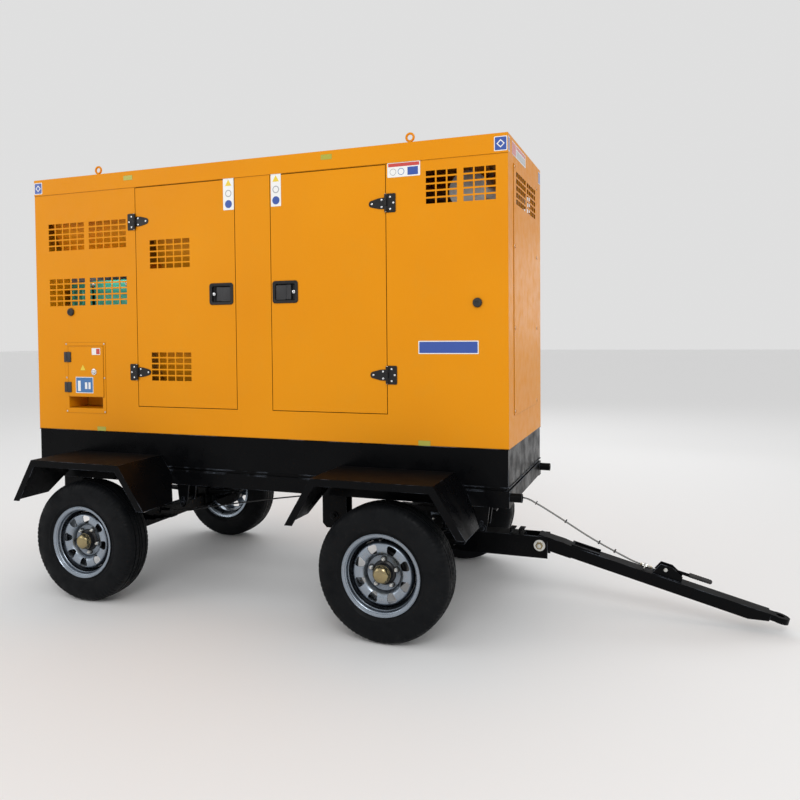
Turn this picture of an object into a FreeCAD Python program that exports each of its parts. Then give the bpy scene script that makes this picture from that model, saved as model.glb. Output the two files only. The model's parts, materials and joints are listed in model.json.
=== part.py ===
"""Towable diesel generator on a four-wheel trailer with a steered front axle.

Frame: X forward along the drawbar, Y to the left, Z up, origin on the ground under the middle of the
overall box. "right" is the -Y side, which carries the output box. Millimetres throughout.
Every driving size is a cell of the sheet "Sizes"; DERIVED holds the lengths worked out from them.
"""
import FreeCAD, Part
import math
import os
import re
import Sketcher

doc = FreeCAD.newDocument("TowableGenerator")

# ---------------------------------------------------------------- driving sizes
SIZES = {
    # canopy
    "canopy_length": 3070, "canopy_width": 1020, "canopy_height": 1600, "deck_height": 954,
    "roof_depth": 100, "skin": 3, "skin_step": 3, "sill_height": 160, "door_gap": 4, "flange_depth": 32,
    "rear_panel_length": 785, "front_panel_length": 654, "door_length": 701,
    "access_width": 736, "access_bottom": 161, "access_top": 1473,
    # grille cells
    "cell_length": 50, "cell_height": 27, "cell_pitch_long": 58.5, "cell_pitch_high": 36,
    # base
    "tank_height": 197, "tank_inset": 5, "tank_wall": 5, "skid_depth": 25, "rail_height": 80,
    "rail_width": 60, "rail_wall": 5, "stub_radius": 23, "stub_bore": 17.5, "stub_length": 62,
    # running gear
    "front_overhang": 575, "wheelbase": 1857, "track": 1534, "wheel_radius": 351, "tyre_width": 200,
    "bead_radius": 190.5, "rim_flange_radius": 207.5, "rim_half_width": 90, "rim_wall": 4,
    "stud_circle_radius": 69.85, "spindle_radius": 22, "fit": 0.05,
    "axle_section": 70, "kingpin_reach": 600, "kingpin_radius": 16, "steer_arm": 150,
    "spring_track": 800, "leaf_width": 60,
    # fenders
    "fender_drop": 130, "fender_tip_drop": 380, "fender_reach": 400, "fender_lip": 38, "fender_gauge": 4,
    # steering head and drawbar
    "head_width": 124, "head_height": 122, "head_nose": 124, "cheek": 12, "hinge_ahead": 81,
    "hinge_drop": 600, "hinge_pin_radius": 18, "pivot_radius": 22, "drawbar_length": 1285, "droop": 14.5,
    "bar_width": 96, "bar_height": 62, "bar_rise": 48, "eye_radius": 45, "eye_bore": 20.5,
    "eye_thickness": 30, "lever_at": 660, "brake_cable_radius": 4.5,
    # doors and fittings
    "strap_low": 372, "strap_high": 1290, "barrel_radius": 7, "hinge_pin": 4, "strap_gauge": 3,
    "latch_height": 835, "latch_tall": 125, "latch_long": 160, "latch_depth": 24,
    # output box
    "output_rear": 2846, "output_length": 316, "output_bottom": 110, "output_top": 555,
    # power unit
    "shaft_height": 400, "shaft_radius": 30, "rotor_radius": 150, "stator_radius": 235, "fan_radius": 270,
    "fan_rise": 170, "lift_eye_radius": 27, "lift_eye_bore": 14,
}
DERIVED = {
    "reach": "hinge_ahead + drawbar_length*cos(droop) + (bar_rise - 19 + eye_thickness/2)*sin(droop)",
    "front_x": "(canopy_length - reach)/2",
    "rear_x": "front_x - canopy_length",
    "half": "canopy_width/2",
    "roof_z": "deck_height + canopy_height",
    "fascia_z": "roof_z - roof_depth",
    "skin_y": "half - skin_step",
    "rear_seam": "rear_x + rear_panel_length",
    "front_seam": "front_x - front_panel_length",
    "door_z0": "deck_height + sill_height",
    "tank_z": "deck_height - tank_height",
    "frame_z": "tank_z - skid_depth",
    "rail_z": "frame_z - rail_height",
    "front_axle_x": "front_x - front_overhang",
    "rear_axle_x": "front_axle_x - wheelbase",
    "wheel_y": "track/2",
    "beam": "axle_section/2",
    "spring_y": "spring_track/2",
    "hinge_x": "front_x + hinge_ahead",
    "hinge_z": "deck_height - hinge_drop",
    "head_z": "wheel_radius - 8",
    "shaft_z": "deck_height + shaft_height",
    "barrel_y": "half + barrel_radius",
}

sheet = doc.addObject("Spreadsheet::Sheet", "Sizes")
for row, (alias, size) in enumerate(SIZES.items(), start=1):
    sheet.set(f"A{row}", alias)
    sheet.set(f"B{row}", str(size))
    sheet.setAlias(f"B{row}", alias)
doc.recompute()

WORD = re.compile(r"[a-z_][a-z0-9_]*")


def formula(text):
    """An expression in plain names, written out in the sheet's cells."""
    def spell(match):
        word = match.group(0)
        if word in DERIVED:
            return "(" + formula(DERIVED[word]) + ")"
        return "Sizes." + word if word in SIZES else word
    return WORD.sub(spell, str(text))


def number(text):
    return float(sheet.evalExpression(formula(text)))


def bind(obj, prop, text):
    """Bind a property to the sheet, or set it where the text is a bare number."""
    if WORD.search(str(text)):
        obj.setExpression(prop, formula(text))
        return
    if prop.startswith("."):
        base = getattr(obj, prop.split(".")[1])
        setattr(base.Base, prop.split(".")[-1], number(text))
        setattr(obj, prop.split(".")[1], base)
    else:
        setattr(obj, prop, number(text))


def place(obj, x=0, y=0, z=0):
    for letter, text in (("x", x), ("y", y), ("z", z)):
        bind(obj, ".Placement.Base." + letter, text)
    return obj


def new(kind, name):
    return doc.addObject(kind, name)


def box(name, x, y, z):
    """A block between pairs of expressions."""
    block = new("Part::Box", name)
    for prop, (low, high) in (("Length", x), ("Width", y), ("Height", z)):
        bind(block, prop, f"({high}) - ({low})")
    return place(block, x[0], y[0], z[0])


TURN = {"x": (FreeCAD.Vector(0, 1, 0), 90), "y": (FreeCAD.Vector(1, 0, 0), -90),
        "z": (FreeCAD.Vector(0, 0, 1), 0)}


def rod(name, axis, at, length, radius, bore=None):
    """A round bar, or a tube, from `at` along an axis; `at` and `length` are expressions."""
    def round_bar(label, size, back, run):
        bar = new("Part::Cylinder", label)
        bind(bar, "Radius", size)
        bind(bar, "Height", run)
        bar.Placement = FreeCAD.Placement(FreeCAD.Vector(), FreeCAD.Rotation(*TURN[axis]))
        spot = [f"({place_text}) - ({back})" if letter == axis else place_text
                for letter, place_text in zip("xyz", at)]
        return place(bar, *spot)
    outer = round_bar(name, radius, 0, length)
    if bore is None:
        return outer
    return cut(name + "_tube", outer, [round_bar(name + "_bore", bore, 1, f"({length}) + 2")])


def cut(name, base, tools):
    piece = new("Part::Cut", name)
    piece.Base = base
    piece.Tool = tools[0] if len(tools) == 1 else group(name + "_cutters", tools)
    return piece


def fuse(name, pieces):
    piece = new("Part::MultiFuse", name)
    piece.Shapes = pieces
    piece.Refine = True
    return piece


def group(name, pieces):
    """Separate solids that share one node."""
    piece = new("Part::Compound", name)
    piece.Links = pieces
    return piece


PLANES = {"x": "YZ_Plane", "y": "XZ_Plane", "z": "XY_Plane"}


def outline_sketch(body, name, plane, points):
    """A closed outline whose corners are held by expressions from the sketch's origin."""
    sketch = body.newObject("Sketcher::SketchObject", name)
    support = [item for item in body.Origin.OriginFeatures if item.Role == plane][0]
    sketch.AttachmentSupport = [(support, "")]
    sketch.MapMode = "FlatFace"
    corners = [FreeCAD.Vector(number(across), number(up), 0) for across, up in points]
    for index, corner in enumerate(corners):
        sketch.addGeometry(Part.LineSegment(corner, corners[(index + 1) % len(corners)]), False)
    for index in range(len(corners)):
        sketch.addConstraint(Sketcher.Constraint("Coincident", index, 2, (index + 1) % len(corners), 1))
    for index, (across, up) in enumerate(points):
        for kind, text in (("DistanceX", across), ("DistanceY", up)):
            held = sketch.addConstraint(Sketcher.Constraint(kind, -1, 1, index, 1, number(text)))
            if WORD.search(str(text)):
                sketch.setExpression(f"Constraints[{held}]", formula(text))
    return sketch


def prism(name, axis, points, low, high):
    """A padded outline. `points` are (x, z) for axis y, (y, z) for axis x and (x, y) for axis z."""
    body = new("PartDesign::Body", name)
    sketch = outline_sketch(body, name + "_outline", PLANES[axis], points)
    start = f"-({high})" if axis == "y" else low
    bind(sketch, ".AttachmentOffset.Base.z", start)
    pad = body.newObject("PartDesign::Pad", name + "_pad")
    pad.Profile = sketch
    bind(pad, "Length", f"({high}) - ({low})")
    return body


def turned(name, axis, points, at=(0, 0, 0)):
    """A revolved outline of (along, radius) points about `axis` through `at`."""
    body = new("PartDesign::Body", name)
    flip = axis != "x"
    sketch = outline_sketch(body, name + "_profile", "XZ_Plane" if axis == "z" else "XY_Plane",
                            [(radius, along) if flip else (along, radius) for along, radius in points])
    turn = body.newObject("PartDesign::Revolution", name + "_turn")
    turn.Profile = sketch
    turn.ReferenceAxis = (sketch, ["V_Axis" if flip else "H_Axis"])
    turn.Angle = 360
    return place(body, *at)


def tilted(name, piece, at, degrees):
    """A compound of `piece` turned about the Y direction through `at`; positive turns +X downward."""
    holder = group(name, [piece])
    holder.Placement = FreeCAD.Placement(FreeCAD.Vector(), FreeCAD.Rotation(FreeCAD.Vector(0, 1, 0), 1))
    bind(holder, ".Placement.Rotation.Angle", degrees)
    return place(holder, *at)


def away(side, near, far):
    """The y span from `near` to `far` out from the centre line on side -1 (right) or +1 (left)."""
    return (near, far) if side > 0 else (f"-({far})", f"-({near})")


def signed(side, text):
    return text if side > 0 else f"-({text})"


SIDES = {"right": -1, "left": 1}
parts = {}


def part(label, piece):
    piece.Label = label
    parts[label] = piece
    return piece


# ---------------------------------------------------------------- canopy
def grille_cells(name, axis, start, low, columns, rows, depth):
    """Cutters for a grid of ventilation cells; axis is the sheet's normal, depth its (low, high)."""
    blocks = []
    for column in range(columns):
        for row in range(rows):
            along = f"({start}) + {column}*cell_pitch_long"
            up = f"({low}) + {row}*cell_pitch_high"
            spans = {"along": (along, f"{along} + cell_length"), "up": (up, f"{up} + cell_height")}
            x, y = (spans["along"], depth) if axis == "y" else (depth, spans["along"])
            blocks.append(box(f"{name}_{column}_{row}", x, y, spans["up"]))
    return blocks


REAR_GRILLES = [(108, 1141), (430, 1141), (108, 790), (430, 790)]
DOOR_GRILLES = [(104, 1001), (104, 322)]
FRONT_GRILLES = [222, 424]


def door_span(end):
    """The x span of a door opening: "rear" starts at the rear seam, "front" ends at the front seam."""
    if end == "rear":
        return "rear_seam", "rear_seam + door_length"
    return "front_seam - door_length", "front_seam"


def canopy_side(name, side):
    outer = away(side, "skin_y - skin", "skin_y")
    through = away(side, "skin_y - flange_depth - 1", "half + 1")
    sheet_metal = box(name + "_skin", ("rear_x", "front_x"), outer, ("deck_height", "fascia_z"))
    frames, openings = [], []
    for end in ("rear", "front"):
        low, high = door_span(end)
        frames.append(box(f"{name}_{end}_frame", (f"{low} - skin", f"{high} + skin"),
                          away(side, "skin_y - flange_depth", "skin_y - skin"),
                          ("door_z0 - skin", "fascia_z")))
        openings.append(box(f"{name}_{end}_opening", (low, high), through, ("door_z0", "fascia_z - skin")))
    for column, (start, low) in enumerate(REAR_GRILLES):
        openings += grille_cells(f"{name}_rg{column}", "y", f"rear_x + {start}", f"deck_height + {low}", 5, 5,
                                 through)
    for column, start in enumerate(FRONT_GRILLES):
        openings += grille_cells(f"{name}_fg{column}", "y", f"front_seam + {start}", "deck_height + 1271",
                                 3, 5, through)
    if side < 0:
        openings.append(box(name + "_output", ("front_x - output_rear + 20",
                                               "front_x - output_rear + output_length - 20"),
                            through, ("deck_height + output_bottom + 20", "deck_height + output_top - 20")))
    return part(name, cut(name, fuse(name + "_sheet", [sheet_metal] + frames), openings))


def roof(name):
    tray = box(name + "_tray", ("rear_x", "front_x"), ("-half", "half"), ("fascia_z", "roof_z"))
    hollow = box(name + "_hollow", ("rear_x + skin", "front_x - skin"), ("-half + skin", "half - skin"),
                 ("fascia_z - 1", "roof_z - skin"))
    return part(name, cut(name, tray, [hollow]))


END_Y = ("-skin_y + skin", "skin_y - skin")
LIFT_X = ("front_x - 2607", "front_x - 537")


def front_end(name):
    plate = box(name + "_plate", ("front_x - skin", "front_x"), END_Y, ("deck_height", "fascia_z"))
    tools = [box(name + "_opening", ("front_x - 9", "front_x + 9"),
                 ("-access_width/2 + 25", "access_width/2 - 25"),
                 ("deck_height + access_bottom + 25", "deck_height + access_top - 25"))]
    return cut(name, plate, tools)


def access_panel(name):
    plate = box(name + "_plate", ("front_x", "front_x + 3"), ("-access_width/2", "access_width/2"),
                ("deck_height + access_bottom", "deck_height + access_top"))
    tools = []
    for index, start in enumerate(("-303", "19")):
        tools += grille_cells(f"{name}_g{index}", "x", start, "deck_height + 1271", 5, 5,
                              ("front_x - 9", "front_x + 9"))
    return part(name, group(name, [cut(name + "_sheet", plate, tools)] + access_screws(name + "_screw")))


def access_screws(name):
    heads = []
    for side in (-1, 1):
        for row, up in enumerate(("access_bottom + 19", "618", "1045", "access_top - 13")):
            heads.append(rod(f"{name}_{side + 1}_{row}", "x",
                             ("front_x + 3", signed(side, "access_width/2 - 23"), f"deck_height + {up}"), 5,
                             8))
    return heads


def rear_end(name):
    plate = box(name + "_plate", ("rear_x", "rear_x + skin"), END_Y, ("deck_height", "fascia_z"))
    tools = [box(name + "_window", ("rear_x - 9", "rear_x + 9"), ("-150", "150"),
                 ("deck_height + 900", "deck_height + 1200"))]
    for index, start in enumerate(("-350", "62")):
        for low in (330, 560):
            tools += grille_cells(f"{name}_g{index}_{low}", "x", start, f"deck_height + {low}", 5, 5,
                                  ("rear_x - 9", "rear_x + 9"))
    return cut(name, plate, tools)


def inner_hoods(name):
    """Sloped baffles that turn the cooling air down behind the side grilles."""
    hoods = []
    for side in (-1, 1):
        for start, run, low in (("rear_x + 90", 610, 1120), ("rear_seam + 90", 320, 985),
                                ("rear_seam + 90", 320, 306)):
            top = f"deck_height + {low} + 225"
            bottom = f"deck_height + {low}"
            inset = 4 if low == 1120 else 33
            hood = prism(f"{name}_{side + 1}_{len(hoods)}", "x",
                         [(signed(side, f"skin_y - skin - {inset}"), top), (signed(side, "skin_y - 42"), top),
                          (signed(side, "skin_y - 150"), bottom), (signed(side, "skin_y - 154"), bottom),
                          (signed(side, "skin_y - 46"), f"{top} + 4"),
                          (signed(side, f"skin_y - skin - {inset}"), f"{top} + 4")],
                         start, f"{start} + {run}")
            hoods.append(hood)
    return part(name, group(name, hoods))


def lifting_eyes(name):
    eyes = []
    for x in LIFT_X:
        for side in (-1, 1):
            at = (x, signed(side, "half - 60"))
            ring = rod(f"{name}_{len(eyes)}_ring", "y",
                       (at[0], f"{at[1]} - 6", "roof_z + 14 + lift_eye_radius"), 12,
                       "lift_eye_radius", "lift_eye_bore")
            foot = turned(f"{name}_{len(eyes)}_foot", "z",
                          [(0, 0), (0, 22), (6, 22), (10, 10), (24, 9), (24, 0)],
                          (at[0], at[1], "roof_z"))
            clear = rod(f"{name}_{len(eyes)}_eye", "y",
                        (at[0], f"{at[1]} - 15", "roof_z + 14 + lift_eye_radius"), 30,
                        "lift_eye_bore")
            eyes.append(cut(f"{name}_{len(eyes)}_piece", fuse(f"{name}_{len(eyes)}_blank", [ring, foot]),
                            [clear]))
    return part(name, group(name, eyes))


def door_stops(name):
    """Rubber buffers that an opened door lands on."""
    stops = []
    for side in (-1, 1):
        for x in ("rear_seam - 507", "front_seam + 494"):
            along = signed(side, 1)
            profile = [(0, 0), (0, 24), (f"{along}*10", 24), (f"{along}*16", 18), (f"{along}*16", 8),
                       (f"{along}*12", 6),
                       (f"{along}*12", 0)]
            stops.append(turned(f"{name}_{len(stops)}", "y", profile,
                                (x, signed(side, "skin_y"), "deck_height + 750")))
    return part(name, group(name, stops))


# ---------------------------------------------------------------- doors
def door(name, side, end):
    low, high = door_span(end)
    x = (f"{low} + door_gap", f"{high} - door_gap")
    z = ("door_z0 + door_gap", "fascia_z - skin - door_gap")
    pan = box(name + "_pan", x, away(side, "skin_y - 27", "skin_y"), z)
    hollow = box(name + "_hollow", (f"{x[0]} + 2.5", f"{x[1]} - 2.5"),
                 away(side, "skin_y - 28", "skin_y - 2.5"),
                 (f"{z[0]} + 2.5", f"{z[1]} - 2.5"))
    through = away(side, "skin_y - 4", "half + 1")
    latch = latch_centre(end)
    openings = [hollow, box(name + "_latch", (f"{latch} - latch_long/2 + 8", f"{latch} + latch_long/2 - 8"),
                            through,
                            ("deck_height + latch_height - latch_tall/2 + 8",
                             "deck_height + latch_height + latch_tall/2 - 8"))]
    if end == "rear":
        for index, (start, bottom) in enumerate(DOOR_GRILLES):
            openings += grille_cells(f"{name}_g{index}", "y", f"{low} + {start}", f"deck_height + {bottom}",
                                     5, 5, through)
    return part(name, cut(name, pan, openings))


def latch_centre(end):
    return "rear_seam + door_length - 98" if end == "rear" else "front_seam - door_length + 91"


def hinge_line(end):
    return "rear_seam" if end == "rear" else "front_seam"


def barrel(name, end, side, height, low, high):
    """One knuckle of a strap hinge, bored for its pin."""
    return rod(name, "z", (hinge_line(end), signed(side, "barrel_y"), f"deck_height + {height} + {low}"),
               high - low, "barrel_radius", "hinge_pin + fit")


def fixed_hinge_leaves(name):
    """The frame halves of the strap hinges, each with its pin and three screws."""
    pieces = []
    for side in SIDES.values():
        for end in ("rear", "front"):
            inward = 1 if end == "rear" else -1
            for height in ("strap_low", "strap_high"):
                tag = f"{name}_{len(pieces)}"
                line, y, z = hinge_line(end), away(side, "skin_y",
                                                   "skin_y + strap_gauge"), f"deck_height + {height}"
                edges = (f"{line} - 54", f"{line} - 3") if inward > 0 else (f"{line} + 3", f"{line} + 54")
                leaf = box(tag + "_leaf", edges, y, (f"{z} - 50", f"{z} + 50"))
                web_x = (f"{line} - 6", f"{line} - 1") if inward > 0 else (f"{line} + 1", f"{line} + 6")
                webs, barrels = [], []
                for row, (low, high) in enumerate(((-45, -16), (16, 45))):
                    webs.append(box(f"{tag}_web{row}", web_x, away(side, "skin_y", "barrel_y"),
                                    (f"{z} + {low}", f"{z} + {high}")))
                    barrels.append(rod(f"{tag}_knuckle{row}", "z",
                                       (line, signed(side, "barrel_y"), f"{z} + {low}"),
                                       high - low, "barrel_radius"))
                pin = rod(tag + "_pin", "z", (line, signed(side, "barrel_y"), f"{z} - 48"), 96, "hinge_pin")
                screws = []
                for row, (across, up) in enumerate(((22, 30), (42, 0), (22, -30))):
                    screw = rod(f"{tag}_screw{row}", "y",
                                (f"{line} - {inward}*{across}", f"{y[0]} - 0" if side < 0 else y[1],
                                 f"{z} + {up}"),
                                3, 7)
                    if side < 0:
                        place(screw, f"{line} - {inward}*{across}", f"{y[0]} - 3", f"{z} + {up}")
                    screws.append(screw)
                pieces.append(fuse(tag, [leaf, pin] + webs + barrels + screws))
    return part(name, group(name, pieces))


def strap(name, side, end, height):
    """The tapering door half of a strap hinge."""
    inward = 1 if end == "rear" else -1
    line = hinge_line(end)
    z = f"deck_height + {height}"
    low, high = away(side, "skin_y", "skin_y + strap_gauge")
    blade = prism(name + "_blade", "y", [(f"{line} + {inward * 3}", f"{z} - 14.5"),
                                         (f"{line} + {inward * 12}", f"{z} - 38"),
                                          (f"{line} + {inward * 84}", f"{z} - 19"),
                                          (f"{line} + {inward * 98}", z),
                                          (f"{line} + {inward * 84}", f"{z} + 19"),
                                          (f"{line} + {inward * 12}", f"{z} + 38"),
                                          (f"{line} + {inward * 3}", f"{z} + 14.5")], low, high)
    web_x = (f"{line} + 1", f"{line} + 6") if inward > 0 else (f"{line} - 6", f"{line} - 1")
    web = box(name + "_web", web_x, away(side, "skin_y", "barrel_y"), (f"{z} - 14.5", f"{z} + 14.5"))
    knuckle = rod(name + "_barrel", "z", (line, signed(side, "barrel_y"), f"{z} - 14.5"), 29, "barrel_radius")
    bore = rod(name + "_bore", "z", (line, signed(side, "barrel_y"), f"{z} - 20"), 40, "hinge_pin + fit")
    screws = []
    for row, (across, up) in enumerate(((26, 24), (26, -24), (78, 0))):
        start = f"-(skin_y + strap_gauge + 3)" if side < 0 else "skin_y + strap_gauge"
        screws.append(rod(f"{name}_screw{row}", "y", (f"{line} + {inward * across}", start, f"{z} + {up}"), 3,
                          7))
    return cut(name, fuse(name + "_body", [blade, web, knuckle] + screws), [bore])


def door_fittings(name, side, end):
    """Both strap hinges of a door and the recessed dish and lock barrel of its paddle latch."""
    pieces = [strap(f"{name}_strap{row}", side, end, height) for row,
              height in enumerate(("strap_low", "strap_high"))]
    x = latch_centre(end)
    z = "deck_height + latch_height"
    rim = box(name + "_rim", (f"{x} - latch_long/2", f"{x} + latch_long/2"),
              away(side, "skin_y", "skin_y + 5"),
              (f"{z} - latch_tall/2", f"{z} + latch_tall/2"))
    well = box(name + "_well", (f"{x} - latch_long/2 + 9", f"{x} + latch_long/2 - 9"),
               away(side, "skin_y - latch_depth", "skin_y"),
               (f"{z} - latch_tall/2 + 9", f"{z} + latch_tall/2 - 9"))
    hollow = box(name + "_recess", (f"{x} - latch_long/2 + 12", f"{x} + latch_long/2 - 12"),
                 away(side, "skin_y - latch_depth + 3", "skin_y + 6"),
                 (f"{z} - latch_tall/2 + 12", f"{z} + latch_tall/2 - 12"))
    dish = cut(name + "_dish", fuse(name + "_blank", [rim, well]), [hollow])
    lock_x = f"{x} - 52" if end == "rear" else f"{x} + 52"
    start = "skin_y - latch_depth + 3" if side > 0 else "-(skin_y - 1)"
    lock = rod(name + "_lock", "y", (lock_x, start, z), "latch_depth - 4", 10)
    return part(name, group(name, pieces + [dish, lock]))


def latch_paddle(name, side, end):
    """The pull paddle, hinged along its top edge inside the dish."""
    x = latch_centre(end)
    toward = 1 if end == "rear" else -1
    z = "deck_height + latch_height"
    low, high = away(side, "skin_y - 12", "skin_y - 6")
    edges = (f"{x} - 34", f"{x} + 62") if toward > 0 else (f"{x} - 62", f"{x} + 34")
    blade = box(name + "_blade", edges, (low, high), (f"{z} - latch_tall/2 + 18", f"{z} + latch_tall/2 - 20"))
    pivot = rod(name + "_pivot", "x", (edges[0], signed(side, "skin_y - 10"), f"{z} + latch_tall/2 - 20"), 96,
                5)
    return part(name, fuse(name, [blade, pivot]))


# ---------------------------------------------------------------- output box
def output_box(name):
    x = ("front_x - output_rear", "front_x - output_rear + output_length")
    z = ("deck_height + output_bottom", "deck_height + output_top")
    plate = box(name + "_plate", x, ("-skin_y - 2", "-skin_y"), z)
    shell = box(name + "_shell", (f"{x[0]} + 22", f"{x[1]} - 22"), ("-skin_y", "-skin_y + 170"),
                (f"{z[0]} + 22", f"{z[1]} - 22"))
    hollow = box(name + "_hollow", (f"{x[0]} + 25", f"{x[1]} - 25"), ("-skin_y - 9", "-skin_y + 167"),
                 (f"{z[0]} + 100", f"{z[1]} - 25"))
    slot = box(name + "_slot", (f"{x[0]} + 25", f"{x[1]} - 25"), ("-skin_y - 9", "-skin_y + 167"),
               (f"{z[0]} + 30", f"{z[0]} + 101"))
    body = cut(name + "_body", fuse(name + "_blank", [plate, shell]), [hollow, slot])
    return part(name, group(name, [body] + output_terminals(name + "_terminals")))


def output_terminals(name):
    """Insulating board with four threaded output studs."""
    middle = "front_x - output_rear + output_length/2"
    z = "deck_height + output_top - 150"
    board = box(name + "_board", (f"{middle} - 120", f"{middle} + 120"), ("-skin_y + 147", "-skin_y + 167"),
                (f"{z} - 50", f"{z} + 50"))
    studs = [rod(f"{name}_stud{index}", "y", (f"{middle} + {60 * index - 90}", "-skin_y + 107", z), 40, 6)
             for index in range(4)]
    return [board] + studs


OUTPUT_HINGE_X = "front_x - output_rear + 16"


def output_door(name):
    x = ("front_x - output_rear + 20", "front_x - output_rear + output_length - 15")
    z = ("deck_height + output_bottom + 102", "deck_height + output_top - 21")
    panel = box(name + "_panel", x, ("-skin_y - 4.5", "-skin_y - 2.3"), z)
    leaves = []
    for row, low in enumerate((241, 433)):
        base = f"deck_height + {low}"
        leaves.append(box(f"{name}_leaf{row}", (OUTPUT_HINGE_X, f"{OUTPUT_HINGE_X} + 30"),
                          ("-skin_y - 8", "-skin_y - 4.5"), (base, f"{base} + 62")))
        leaves.append(rod(f"{name}_barrel{row}", "z", (OUTPUT_HINGE_X, "-skin_y - 8", base), 62, 5))
    return part(name, fuse(name, [panel] + leaves))


def output_lock(name):
    """Quarter-turn lock of the output door, with its cam behind the panel."""
    at = ("front_x - 2618", "-skin_y - 13", "deck_height + 371")
    knob = rod(name + "_knob", "y", at, 8.5, 20)
    return part(name, knob)


# ---------------------------------------------------------------- base and chassis
def base_tank(name):
    """Fuel tank base with its bottom flange and the packing strip over the rails."""
    edge = "half - tank_inset"
    block = box(name + "_block", ("rear_x + tank_inset", "front_x - tank_inset"), (f"-({edge})", edge),
                ("tank_z", "deck_height - 3"))
    lip = box(name + "_lip", ("rear_x", "front_x"), ("-half", "half"), ("deck_height - 3", "deck_height"))
    flange = box(name + "_flange", ("rear_x", "front_x"), ("-half", "half"), ("tank_z - 5", "tank_z"))
    packer = box(name + "_packer", ("rear_x + 12", "front_x - 12"), ("-half + 12", "half - 12"),
                 ("frame_z + 6", "tank_z - 5"))
    strip = box(name + "_strip", ("rear_x", "front_x"), ("-half", "half"), ("frame_z", "frame_z + 6"))
    fuel_space = box(name + "_space", ("rear_x + tank_inset + tank_wall", "front_x - tank_inset - tank_wall"),
                     (f"-({edge}) + tank_wall", f"{edge} - tank_wall"),
                     ("tank_z + tank_wall", "deck_height - 3 - tank_wall"))
    filler = rod(name + "_filler", "z", ("rear_x + 300", "half - 120", "deck_height - 30"), 40, 30)
    return part(name, cut(name, fuse(name + "_blank", [block, lip, flange, packer, strip]),
                          [fuel_space, filler]))


def chassis_frame(name):
    """Two side rails and five cross members of box section, with a tube stub at each front corner."""
    pieces = []
    for side in (-1, 1):
        rail = box(f"{name}_rail{side + 1}", ("rear_x", "front_x"), away(side, "half - rail_width", "half"),
                   ("rail_z", "frame_z"))
        core = box(f"{name}_core{side + 1}", ("rear_x - 1", "front_x - rail_wall"),
                   away(side, "half - rail_width + rail_wall", "half - rail_wall"),
                   ("rail_z + rail_wall", "frame_z - rail_wall"))
        pieces.append(cut(f"{name}_tube{side + 1}", rail, [core]))
    inner = ("-half + rail_width", "half - rail_width")
    for row, x in enumerate(("rear_x", "rear_axle_x - 40", "(rear_axle_x + front_axle_x)/2 - 40",
                             "front_axle_x - 60", "front_x - 80")):
        pieces.append(box(f"{name}_cross{row}", (x, f"{x} + 80"), inner, ("rail_z + 6", "frame_z")))
    stubs = []
    for side in (-1, 1):
        stubs.append(rod(f"{name}_stub{side + 1}", "x",
                         ("front_x", signed(side, "half - 28"), "frame_z - 28"), "stub_length",
                         "stub_radius", "stub_bore"))
    anchor = [rod(name + "_cable_tube", "x", ("front_axle_x - 120", 60, "rail_z - 30"), 50, 11),
              box(name + "_cable_foot", ("front_axle_x - 78", "front_axle_x - 44"), (50, 70),
                  ("rail_z - 38", "rail_z - 22")),
              box(name + "_cable_strap", ("front_axle_x - 52", "front_axle_x - 44"), (50, 70),
                  ("rail_z - 38", "rail_z + 10"))]
    return part(name, fuse(name, pieces + stubs + anchor))


FENDERS = {"front": (-355, 290, -503, 449), "rear": (-316, 309, -457, 479)}


def fender(name, side, end):
    """A folded sheet arch with an outer lip; the inner lower corners are trimmed clear of the rails."""
    axle = f"{end}_axle_x"
    top_back, top_fore, tip_back, tip_fore = FENDERS[end]
    top, tip = "(deck_height - fender_drop)", "(deck_height - fender_tip_drop)"
    drop = "(fender_tip_drop - fender_drop)"

    def arch(tag, depth, y):
        def leg(run):
            slope = f"sqrt({run}*{run} + {drop}*{drop})"
            return f"({run} - {slope})*{depth}/{drop}", f"{slope}*{depth}/{drop}"
        fore_in, fore_tip = leg(tip_fore - top_fore)
        back_in, back_tip = leg(top_back - tip_back)
        points = [(f"{axle} + {tip_back}", tip), (f"{axle} + {top_back}", top), (f"{axle} + {top_fore}", top),
                  (f"{axle} + {tip_fore}", tip), (f"{axle} + {tip_fore} - {fore_tip}", tip),
                  (f"{axle} + {top_fore} + {fore_in}", f"{top} - {depth}"),
                  (f"{axle} + {top_back} - ({back_in})", f"{top} - {depth}"),
                  (f"{axle} + {tip_back} + {back_tip}", tip)]
        return prism(tag, "y", points, *y)
    outer = "half + fender_reach"
    shell = arch(name + "_sheet", "fender_gauge", away(side, "half", outer))
    lip = arch(name + "_lip", "fender_lip", away(side, f"{outer} - fender_gauge", outer))
    trims = []
    for row, (low, high) in enumerate(((tip_back - 40, top_back - 12), (top_fore + 12, tip_fore + 40))):
        trims.append(prism(f"{name}_trim{row}", "x",
                           [(signed(side, "half - 5"), f"{tip} - 5"),
                            (signed(side, "half + 131"), f"{tip} - 5"),
                                                       (signed(side, "half - 5"), f"{tip} + 150")],
                           f"{axle} + {low}", f"{axle} + {high}"))
    braces = [box(f"{name}_brace{row}", (f"{axle} + {x}", f"{axle} + {x + 30}"),
                  away(side, "half", "half + 300"),
                  (f"{top} - 44", f"{top} - fender_gauge")) for row,
                  x in enumerate((top_back + 60, top_fore - 90))]
    return fuse(name, [cut(name + "_trimmed", shell, trims), lip] + braces)


def fenders(name):
    return part(name, group(name, [fender(f"{name}_{end}_{word}", side, end) for end in FENDERS for word,
                                   side in SIDES.items()]))


HANGER_BACK = (-502, -357)
HANGER_FORE = (372, 460)


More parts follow.
